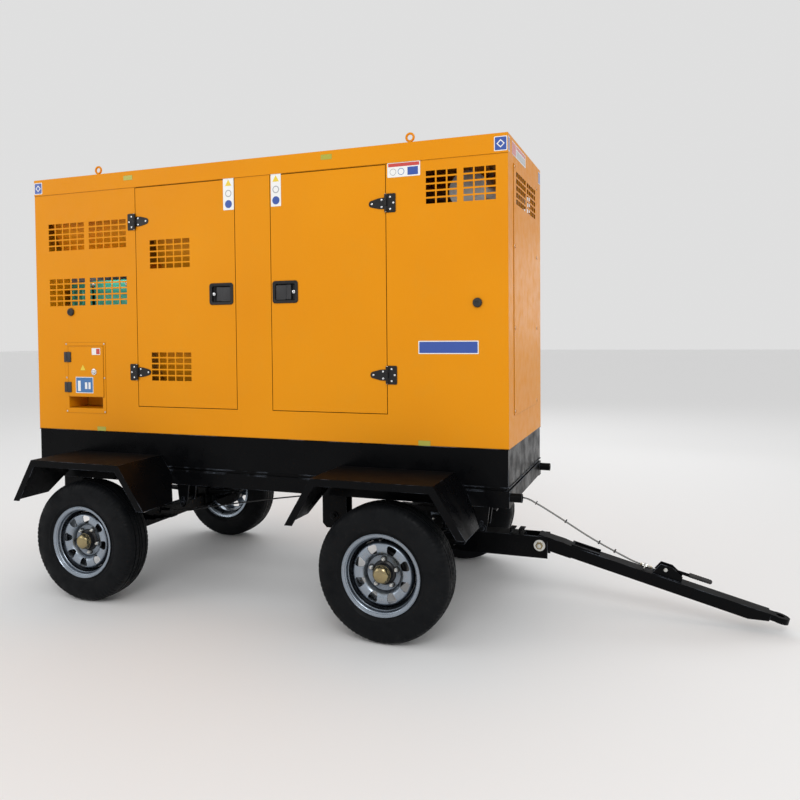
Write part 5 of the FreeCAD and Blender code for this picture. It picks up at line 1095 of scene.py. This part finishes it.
def films():
    """Blank coloured labels and plates: no lettering and no signs."""
    half_turn = math.radians(90)
    for side, sign in SIDES.items():
        for end, x0, x1 in (("rear", -1660, -1589), ("front", -1347, -1283)):
            body = f"door_{end}_{side}"
            tag = f"{end}_{side}"
            film(f"label_strip_{tag}", rounded(x0, x1, 1318, 1506, 4), "white_film", sign, 0.5, body)
            mid = (x0 + x1) / 2
            disc_film(f"label_yellow_{tag}", mid, 1469, 24, "yellow_film", sign, 0.85, body, 3, half_turn)
            disc_film(f"label_grey_{tag}", mid, 1413, 21, "grey_film", sign, 0.85, body)
            disc_film(f"label_centre_{tag}", mid, 1413, 15, "white_film", sign, 1.2, body)
            disc_film(f"label_blue_{tag}", mid, 1352, 23, "blue_film", sign, 0.85, body)
        film(f"name_bar_edge_{side}", rounded(-479, -155, 486, 555, 3), "white_film", sign, 0.4)
        film(f"name_bar_{side}", rounded(-474, -160, 491, 550, 3), "blue_film", sign, 0.75)
        film(f"notice_{side}", rounded(-645, -462, 1423, 1502, 5), "white_film", sign, 0.4)
        film(f"notice_head_{side}", rounded(-640, -467, 1478, 1496, 2), "red_film", sign, 0.75)
        film(f"notice_square_{side}", rounded(-532, -474, 1430, 1472, 2), "blue_film", sign, 0.75)
        disc_film(f"notice_ring_{side}", -568, 1451, 18, "sky_film", sign, 0.75)
        disc_film(f"notice_ring_fill_{side}", -568, 1451, 15, "white_film", sign, 1.1)
        disc_film(f"notice_ring_b_{side}", -613, 1451, 18, "grey_film", sign, 0.75)
        disc_film(f"notice_ring_b_fill_{side}", -613, 1451, 15, "white_film", sign, 1.1)
        for end, x0, x1 in (("rear", -3068, -3004), ("front", -70, -3)):
            film(f"corner_mark_edge_{end}_{side}", rounded(x0, x1, 1510, 1583, 4), "white_film", sign, 3.4)
            film(f"corner_mark_{end}_{side}", rounded(x0 + 4, x1 - 4, 1514, 1579, 3), "blue_film", sign,
                 3.75)
            mid = (x0 + x1) / 2
            disc_film(f"corner_mark_fill_{end}_{side}", mid, 1546.5, 21, "white_film", sign, 4.1, sides=4)
            disc_film(f"corner_mark_centre_{end}_{side}", mid, 1546.5, 14, "blue_film", sign, 4.45, sides=4)
        for index, (x, z, out) in enumerate(((-1000, 1566, 3.4), (-2330, 1560, 3.4), (-450, 13, 0.4),
                                             (-2570, 13, 0.4))):
            film(f"inspection_mark_{index}_{side}", rounded(x - 33, x + 33, z - 14, z + 14, 2), "lime_film",
                 sign, out)
    for name, y0, y1, z0, z1, material, out in (
            ("mark_near_edge", -506, -462, 1510, 1583, "white_film", 0.4),
            ("mark_near", -502, -466, 1514, 1579, "blue_film", 0.75),
            ("mark_far_edge", 436, 503, 1510, 1583, "white_film", 0.4),
            ("mark_far", 440, 499, 1514, 1579, "blue_film", 0.75),
            ("bar_edge", -405, -10, 1514, 1582, "white_film", 0.4),
            ("bar_head", -400, -300, 1518, 1578, "red_film", 0.75),
            ("bar_line", -285, -20, 1562, 1578, "red_film", 0.75),
            ("bar_field", -285, -20, 1520, 1556, "grey_film", 0.75)):
        fascia_film(name, (y0, y1, z0, z1), material, out)
    door = 5.0
    film("plate_edge", rounded(-2763, -2625, 236, 338, 3), "white_film", -1, door, "output_door")
    film("plate_field", rounded(-2759, -2629, 240, 334, 2), "sky_film", -1, door + 0.35, "output_door")
    film("plate_column_a", rounded(-2746, -2724, 248, 314, 1), "white_film", -1, door + 0.7, "output_door")
    film("plate_column_b", rounded(-2690, -2672, 262, 304, 1), "white_film", -1, door + 0.7, "output_door")
    film("plate_column_c", rounded(-2662, -2646, 262, 304, 1), "white_film", -1, door + 0.7, "output_door")
    disc_film("output_triangle", -2704, 392, 24, "yellow_film", -1, door, "output_door", 3, half_turn)
    film("output_tag", rounded(-2632, -2566, 478, 520, 3), "white_film", -1, door, "output_door")
    film("output_tag_red", rounded(-2597, -2570, 482, 516, 3), "red_film", -1, door + 0.35, "output_door")


# ---------------------------------------------------------------- drawbar, lever and brake cables
def bar_piece(name, shape, body, material):
    """Move a bmesh drawn along the drawbar (x from the hinge pin, z square to the bar) into place."""
    turn = Matrix((ALONG, (0, 1, 0), UPWARD)).transposed().to_4x4()
    bmesh.ops.transform(shape, matrix=Matrix.Translation(HINGE) @ turn, verts=shape.verts)
    return add(name, from_bmesh(name, shape), body, material)


def ring_about(shape, axis, at, profile, segments=32):
    """Lathe a profile of millimetres about a line into a bmesh."""
    local = bmesh.new()
    lathe(local, [(a * MM, max(b, 0.05) * MM) for a, b in profile], segments)
    join(shape, local, Matrix.Translation(Vector(at) * MM) @ facing(axis))


def lever_gear():
    """Hand-brake lever with its grip and pivot bolt, and the cable adjuster in its saddle."""
    lever = LEVER_AT / MM
    # lever: flat arm on its pivot boss, and a moulded grip with finger rings
    shape = bmesh.new()
    z = 88
    block(shape, ((lever - 22) * MM, -4.6 * MM, (z - 13) * MM),
          ((lever + 30) * MM, 4.6 * MM, (z + 13) * MM), 3 * MM, 3)
    block(shape, ((lever + 18) * MM, -4.6 * MM, (z - 5) * MM),
          ((lever + 128) * MM, 4.6 * MM, (z + 12) * MM), 3 * MM, 3)
    ring_about(shape, (0, 1, 0), (lever, -12, z),
               [(0, 6), (0, 12.6), (1, 13), (23, 13), (24, 12.6), (24, 6)], 36)
    arm = bar_piece("lever_arm", shape, "brake_lever", "black")
    shape = bmesh.new()
    profile = [(0, 0), (0, 9), (3, 12)]
    for rib in range(8):
        base = 8 + rib * 12
        profile += [(base, 12.9), (base + 5, 12.9), (base + 7, 11.8), (base + 10, 11.8)]
    profile += [(106, 12.8), (112, 11), (116, 6.5), (117.4, 0)]
    ring_about(shape, (1, 0, 0), (lever + 118, 0, z + 6), profile, 32)
    bar_piece("lever_grip", shape, "brake_lever", "rubber")
    shape = bmesh.new()
    for side in (-1, 1):
        ring_about(shape, (0, side, 0), (lever, side * 33.4, z),
                   [(-8, 0), (-8, 6), (0, 6), (0, 10.5), (1.6, 10.5), (1.6, 0)], 28)
        local = bmesh.new()
        hexagon(local, Vector((0, 0, 0)), (0, side, 0), 17 * MM, 7 * MM)
        join(shape, local, Matrix.Translation((lever * MM, side * 35 * MM, z * MM)))
    bar_piece("lever_pivot_bolt", shape, "brake_lever", "zinc")
    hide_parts("brake_lever")
    # adjuster: threaded sleeve between two lock nuts in its saddle, with the clevis rod
    shape = bmesh.new()
    z = 70
    thread = [(0, 4.9), (0, 6)]
    for turn in range(20):
        thread += [(1 + 2.9 * turn, 7.4), (2.4 + 2.9 * turn, 6.5)]
    thread += [(60, 6), (60, 4.9)]
    ring_about(shape, (1, 0, 0), (lever - 128, -12, z), thread, 28)
    sleeve = bar_piece("adjuster_sleeve", shape, "drawbar", "brass")
    shape = bmesh.new()
    for start, across in ((-118, 22), (-100, 22), (-86, 17)):
        local = bmesh.new()
        hexagon(local, Vector((0, 0, 0)), (1, 0, 0), across * MM, 9 * MM)
        join(shape, local, Matrix.Translation(((lever + start) * MM, -12 * MM, z * MM)))
    ring_about(shape, (1, 0, 0), (lever - 71, -12, z),
               [(0, 0), (0, 3.6), (2, 4), (20, 4), (22, 3.6), (22, 0)], 20)
    bar_piece("adjuster_nuts", shape, "drawbar", "zinc")
    shape = bmesh.new()
    block(shape, ((lever - 108) * MM, -25.6 * MM, 48.4 * MM), ((lever - 100.4) * MM, 1.6 * MM, 81.6 * MM),
          1.2 * MM)
    bar_piece("adjuster_saddle", shape, "drawbar", "zinc")
    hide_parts("brake_cable_adjuster")


def tube_mesh(name, points, radius, segments=14, resolution=10):
    """A round bar swept along a Catmull-Rom line through points, with closed ends."""
    dots = [Vector(point) for point in points]
    ends = [dots[0] * 2 - dots[1]] + dots + [dots[-1] * 2 - dots[-2]]
    line = []
    for index in range(1, len(ends) - 2):
        p0, p1, p2, p3 = ends[index - 1:index + 3]
        for step in range(resolution):
            t = step / resolution
            square = 2 * p0 - 5 * p1 + 4 * p2 - p3
            cube = 3 * p1 - p0 - 3 * p2 + p3
            line.append(0.5 * ((2 * p1) + (p2 - p0) * t + square * t * t + cube * t ** 3))
    line.append(dots[-1])
    shape = bmesh.new()
    side = Vector((0, 1, 0))
    rings = []
    for index, spot in enumerate(line):
        ahead = (line[min(index + 1, len(line) - 1)] - line[max(index - 1, 0)]).normalized()
        side = (side - ahead * side.dot(ahead)).normalized()
        third = ahead.cross(side)
        turns = [math.tau * step / segments for step in range(segments)]
        outward = [side * math.cos(turn) + third * math.sin(turn) for turn in turns]
        rings.append([shape.verts.new(spot + way * radius) for way in outward])
    bridge(shape, rings)
    shape.faces.new(rings[0])
    shape.faces.new(rings[-1])
    return from_bmesh(name, shape)


def brake_cables():
    """The outer cable and its plain wire run side by side from the front cross member to the lever."""
    rail = DECK - 302 * MM
    axle = WHEELS["front", "right"].x
    start_x = axle + 116.5 * MM
    last = on_bar(LEVER_AT - 0.112, 0.070, -0.012)
    route = [(start_x, -0.034, rail - 0.034), (axle + 0.21, -0.034, rail - 0.034),
             (axle + 0.33, -0.075, rail - 0.024)]
    route += [(FRONT + x, y, rail + z) for x, y, z in (
        (-0.110, -0.112, -0.018), (0.010, -0.118, -0.024), (0.073, -0.116, -0.050), (0.127, -0.112, -0.080),
        (0.230, -0.100, -0.143),
        (0.323, -0.085, -0.203), (0.403, -0.067, -0.252), (0.483, -0.042, -0.299))]
    route = [Vector(point) for point in route] + [on_bar(LEVER_AT - 0.175, 0.076, -0.018), last]
    mesh = tube_mesh("brake_cable_outer", route, 4.4 * MM)
    outer = loose("brake_cable_outer", mesh, "sheath")
    shift = Vector((0, -0.0095, 0.003))
    mesh = tube_mesh("brake_cable_wire",
                     [point + shift for point in route[4:-1]] + [last + Vector((0.05, -0.006, -0.010))],
                     2.6 * MM)
    wire = loose("brake_cable_wire", mesh, "wire")
    shape = bmesh.new()
    for index in (5, 7, 9, 10):
        spot = route[index] + shift / 2
        ahead = (route[index + 1] - route[index - 1]).normalized()
        local = spun([(-2.4, 6), (-2.4, 9.6), (2.4, 9.6), (2.4, 6)], 20)
        block(local, (-3 * MM, -2.5 * MM, 8.4 * MM), (3 * MM, 2.5 * MM, 14 * MM), 0.8 * MM)
        join(shape, local, Matrix.Translation(spot) @ facing(ahead))
    ties = loose("brake_cable_ties", from_bmesh("brake_cable_ties", shape), "plastic")
    for piece in (outer, wire, ties):
        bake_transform(piece)
    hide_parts("drawbar_brake_cable")


def loose(name, mesh, material):
    """A piece with no parent, for a part that runs between two bodies."""
    piece = bpy.data.objects.new(name, mesh)
    bpy.context.scene.collection.objects.link(piece)
    mesh.materials.append(MAT[material])
    mesh.polygons.foreach_set("use_smooth", [True] * len(mesh.polygons))
    mesh.set_sharp_from_angle(angle=math.radians(50))
    return piece


def hinge_pin():
    """Headed pin with washer and nut through the steering head's cheeks."""
    half = high("drawbar_pin").y
    shape = bmesh.new()
    for side in (-1, 1):
        local = spun([(0, 0.1), (0, 31), (1, 32), (5, 32), (6, 31), (6, 22), (8, 22), (8, 0.1)], 56)
        lathe(local, [(20 * MM, 0.1 * MM), (20 * MM, 12 * MM), (22.5 * MM, 11 * MM), (23 * MM, 9 * MM),
                      (23 * MM, 0.1 * MM)], 32)
        join(shape, local,
             Matrix.Translation(HINGE + Vector((0, side * (half - 24 * MM), 0))) @ facing((0, side, 0)))
    shank = bmesh.new()
    lathe(shank, [(0, 0.1 * MM), (0, 17.6 * MM), (2 * half - 52 * MM, 17.6 * MM),
                  (2 * half - 52 * MM, 0.1 * MM)], 40)
    join(shape, shank,
         Matrix.Translation(HINGE - Vector((0, half - 26 * MM,
                                            0))) @ Matrix.Rotation(math.radians(90), 4, "Z"))
    piece = build("drawbar_pin_bolt", shape, "steering_head", "zinc")
    shape = bmesh.new()
    for side in (-1, 1):
        hexagon(shape, HINGE + Vector((0, side * (half - 18 * MM), 0)), (0, side, 0), 36 * MM, 14 * MM)
    build("drawbar_pin_heads", shape, "steering_head", "gold")
    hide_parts("drawbar_pin")


def front_panel_screws():
    """Screws down both edges of the front access panel."""
    box_low, box_high = low("front_access_panel"), high("front_access_panel")
    sides = (box_low.y + 23 * MM, box_high.y - 23 * MM)
    heights = (DECK + 180 * MM, DECK + 618 * MM, DECK + 1045 * MM, DECK + 1460 * MM)
    spots = [Vector((FRONT + 3 * MM, y, z)) for y in sides for z in heights]
    pan_screws("access_screws", spots, (1, 0, 0), 8.4 * MM, "chassis", "zinc")


# ---------------------------------------------------------------- inside the canopy and the rear end
def alternator_cover():
    """Teal terminal and air-inlet box behind the alternator, ribbed and bolted."""
    rear_face = low("alternator").x
    x0, x1 = REAR + 0.225, rear_face - 0.004
    y0, y1, z0, z1 = -0.292, 0.292, DECK + 0.50, DECK + 0.965
    shape = bmesh.new()
    block(shape, (x0, y0, z0), (x1, y1, z1), 34 * MM, 5)
    block(shape, (x0 - 0.165, y0, z0 + 0.02), (x0 + 0.08, y0 + 0.068, z1 - 0.01), 24 * MM, 4)
    for index in range(3):
        block(shape, (x0 - 0.135 + index * 0.04, y0 - 5 * MM, z0 + 0.14),
              (x0 - 0.12 + index * 0.04, y0 + 4 * MM, z1 - 0.06), 3 * MM, 2)
    for index in range(9):
        x = x0 + 0.07 + index * 0.058
        block(shape, (x, y0 - 7 * MM, z0 + 0.06), (x + 0.026, y0 + 4 * MM, z1 - 0.12), 4 * MM, 2)
        block(shape, (x, y1 - 4 * MM, z0 + 0.06), (x + 0.026, y1 + 7 * MM, z1 - 0.12), 4 * MM, 2)
    block(shape, (x0 + 0.05, y0 - 4 * MM, z1 - 0.095), (x1 - 0.05, y0 + 4 * MM, z1 - 0.05), 3 * MM, 2)
    build("alternator_cover", shape, "chassis", "green")
    spots = [Vector((x, y0 - 1 * MM, z)) for x in (x0 + 0.045, (x0 + x1) / 2,
                                                   x1 - 0.045) for z in (z0 + 0.04, z1 - 0.03)]
    bolt_heads("alternator_cover_bolts", spots, (0, -1, 0), 13 * MM, 6 * MM, "chassis", "zinc")


def console():
    """Controls on the panel face behind the rear end's window."""
    x = REAR + 30 * MM
    mid_z = (low("control_panel").z + high("control_panel").z) / 2
    button = middle("stop_button")
    shape = bmesh.new()
    for y0, z0, y1, z1 in ((-0.122, -0.032, 0.042, -0.014), (-0.122, 0.084, 0.042, 0.102),
                           (-0.122, -0.032, -0.104, 0.102), (0.024, -0.032, 0.042, 0.102)):
        block(shape, (x - 8.6 * MM, y0, mid_z + z0), (x + 1 * MM, y1, mid_z + z1), 2.4 * MM, 3)
    build("console_bezel", shape, "chassis", "plastic")
    slab("console_screen", (x - 7.2 * MM, -0.105, mid_z - 0.015), (x - 5.6 * MM, 0.025, mid_z + 0.085), 0.4,
         "chassis", "screen")
    shape = bmesh.new()
    backward = Matrix.Rotation(math.radians(180), 4, "Y")
    for index in range(5):
        local = spun([(-1, 0.1), (-1, 5.4), (2.6, 5.4), (3, 4.6), (3, 0.1)], 24)
        join(shape, local,
             Matrix.Translation((x + 0.2 * MM, -0.094 + index * 0.027, mid_z - 0.052)) @ backward)
    build("console_keys", shape, "chassis", "grey")
    shape = bmesh.new()
    for y, z in ((0.09, 0.105), (0.09, -0.03), (-0.08, -0.10), (-0.02, -0.10), (0.04, -0.10),
                 (0.10, -0.10)):
        local = spun([(-1, 0.1), (-1, 15), (1, 15), (2.4, 13), (2.4, 0.1)], 32)
        join(shape, local, Matrix.Translation((x + 0.1 * MM, y, mid_z + z)) @ backward)
    build("console_bezels", shape, "chassis", "satin")
    corner = 138 * MM
    spots = [Vector((x, y * corner, mid_z + z * corner)) for y in (-1, 1) for z in (-1, 1)]
    pan_screws("console_screws", spots, (-1, 0, 0), 5 * MM, "chassis", "zinc")
    # mushroom stop button
    head = low("stop_button").x
    radius = (high("stop_button").z - low("stop_button").z) / 2 / MM
    length = (high("stop_button").x - head) / MM
    profile = [(0, 0.1), (0, radius * 0.55), (0.8, radius * 0.78), (2.4, radius * 0.93), (5, radius),
               (9, radius), (11, radius * 0.9), (12, radius * 0.55),
               (length, radius * 0.5), (length, 0.1)]
    piece = turned("stop_mushroom", profile, Vector((head, button.y, button.z)), (1, 0, 0), "stop_button",
                   "red", 48)
    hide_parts("stop_button")


def crank_line():
    """Shaft with the alternator's rotor, the flywheel with its ring gear, and the crank pulley."""
    rear_end = low("crankshaft_and_rotor").x
    shaft = 29.2
    profile = [(0, 0.1), (0, 27), (2, shaft), (66, shaft), (66, 145), (71, 149.5), (501, 149.5), (506, 145),
               (506, shaft), (576, shaft), (576, 180),
               (580, 184), (596, 184), (596, 191), (598, 194.4), (616, 194.4), (618, 191), (618, 184),
               (632, 184), (636, 180), (636, shaft),
               (1417, shaft), (1417, 83.6), (1418.4, 84.7), (1426, 84.7), (1431, 70.6), (1443, 70.6),
               (1447.5, 84.7), (1455.6, 84.7), (1456.9, 83.6),
               (1456.9, 62), (1450, 58), (1450, 26), (1455, 24), (1455, 0.1)]
    teeth, tooth = 48, 3.2 * MM

    def warp(along, radius, angle):
        if 597 * MM < along < 617 * MM and radius > 190 * MM:
            radius -= tooth * (math.cos(teeth * angle) < 0)
        return along, radius
    shape = spun(profile, 192, warp)
    spot = Vector((rear_end, 0, Vector(JOINTS["crankshaft_spin"]["pos_m"]).z))
    bmesh.ops.transform(shape, matrix=Matrix.Translation(spot), verts=shape.verts)
    piece = build("crank_line", shape, "crankshaft", "steel")
    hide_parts("crankshaft_and_rotor")


def running_gear_bolts():
    """Bolt heads on the outer faces of the spring hangers."""
    gear_low, gear_high = low("spring_hangers"), high("spring_hangers")
    for side, sign in SIDES.items():
        spots = []
        for end in ENDS:
            axle = WHEELS[end, side].x
            for shift in (-0.43, 0.42):
                x = axle + shift
                if gear_low.x < x < gear_high.x:
                    spots.append(Vector((x, sign * (gear_high.y + 0.1 * MM), 0.525)))
        bolt_heads(f"hanger_bolts_{side}", spots, (0, sign, 0), 24 * MM, 11 * MM, "chassis", "black")


def finish_cad_nodes():
    """Materials of the CAD pieces that stay as they are."""
    table = {
        "orange": ["canopy_roof", "canopy_side_right", "canopy_side_left", "canopy_end_panels",
                   "front_access_panel", "door_rear_right", "door_rear_left",
                   "door_front_right", "door_front_left", "output_door", "output_box"],
        # the inner air hoods take the brighter copy of the orange, which is painted light
        "hood": ["inner_air_hoods"],
        "black": ["chassis_frame", "fenders", "spring_hangers", "leaf_springs", "rear_axle", "front_axle",
                  "steering_knuckle_right", "steering_knuckle_left",
                  "steering_head", "drawbar", "tow_eye", "brake_lever", "base_fuel_tank"],
        "satin": ["fixed_hinge_leaves"],
        "rubber": ["door_stop_buffers"], "zinc": ["tie_rod", "drawbar_pin", "brake_cable_adjuster"],
        "sheath": ["drawbar_brake_cable", "axle_brake_cable"], "green": ["engine_block", "alternator"],
        "steel": ["crankshaft_and_rotor"],
        "fan": ["cooling_fan"], "belt": ["fan_belt"], "core": ["radiator"], "exhaust": ["exhaust_silencer"],
        "battery": ["battery"],
        "grey": ["control_panel"], "red": ["stop_button"], "chrome": ["output_lock"],
    }
    for material, nodes in table.items():
        for node in nodes:
            coat(node, material)
    for end in ENDS:
        for side in SIDES:
            coat(f"door_fittings_{end}_{side}", "satin")
            coat(f"latch_paddle_{end}_{side}", "plastic")
            coat(f"wheel_{end}_{side}", "silver")
            coat(f"tyre_{end}_{side}", "tyre")


def coat(node, material):
    """Give one CAD node its material."""
    piece = bpy.data.objects[node]
    for slot in piece.material_slots:
        slot.material = MAT[material]
    if not piece.material_slots:
        piece.data.materials.append(MAT[material])


camera()
studio()
finish_cad_nodes()
wheels()
doors()
lifting_eyes()
buffers()
output_cabinet()
films()
lever_gear()
brake_cables()
hinge_pin()
front_panel_screws()
alternator_cover()
console()
crank_line()
running_gear_bolts()
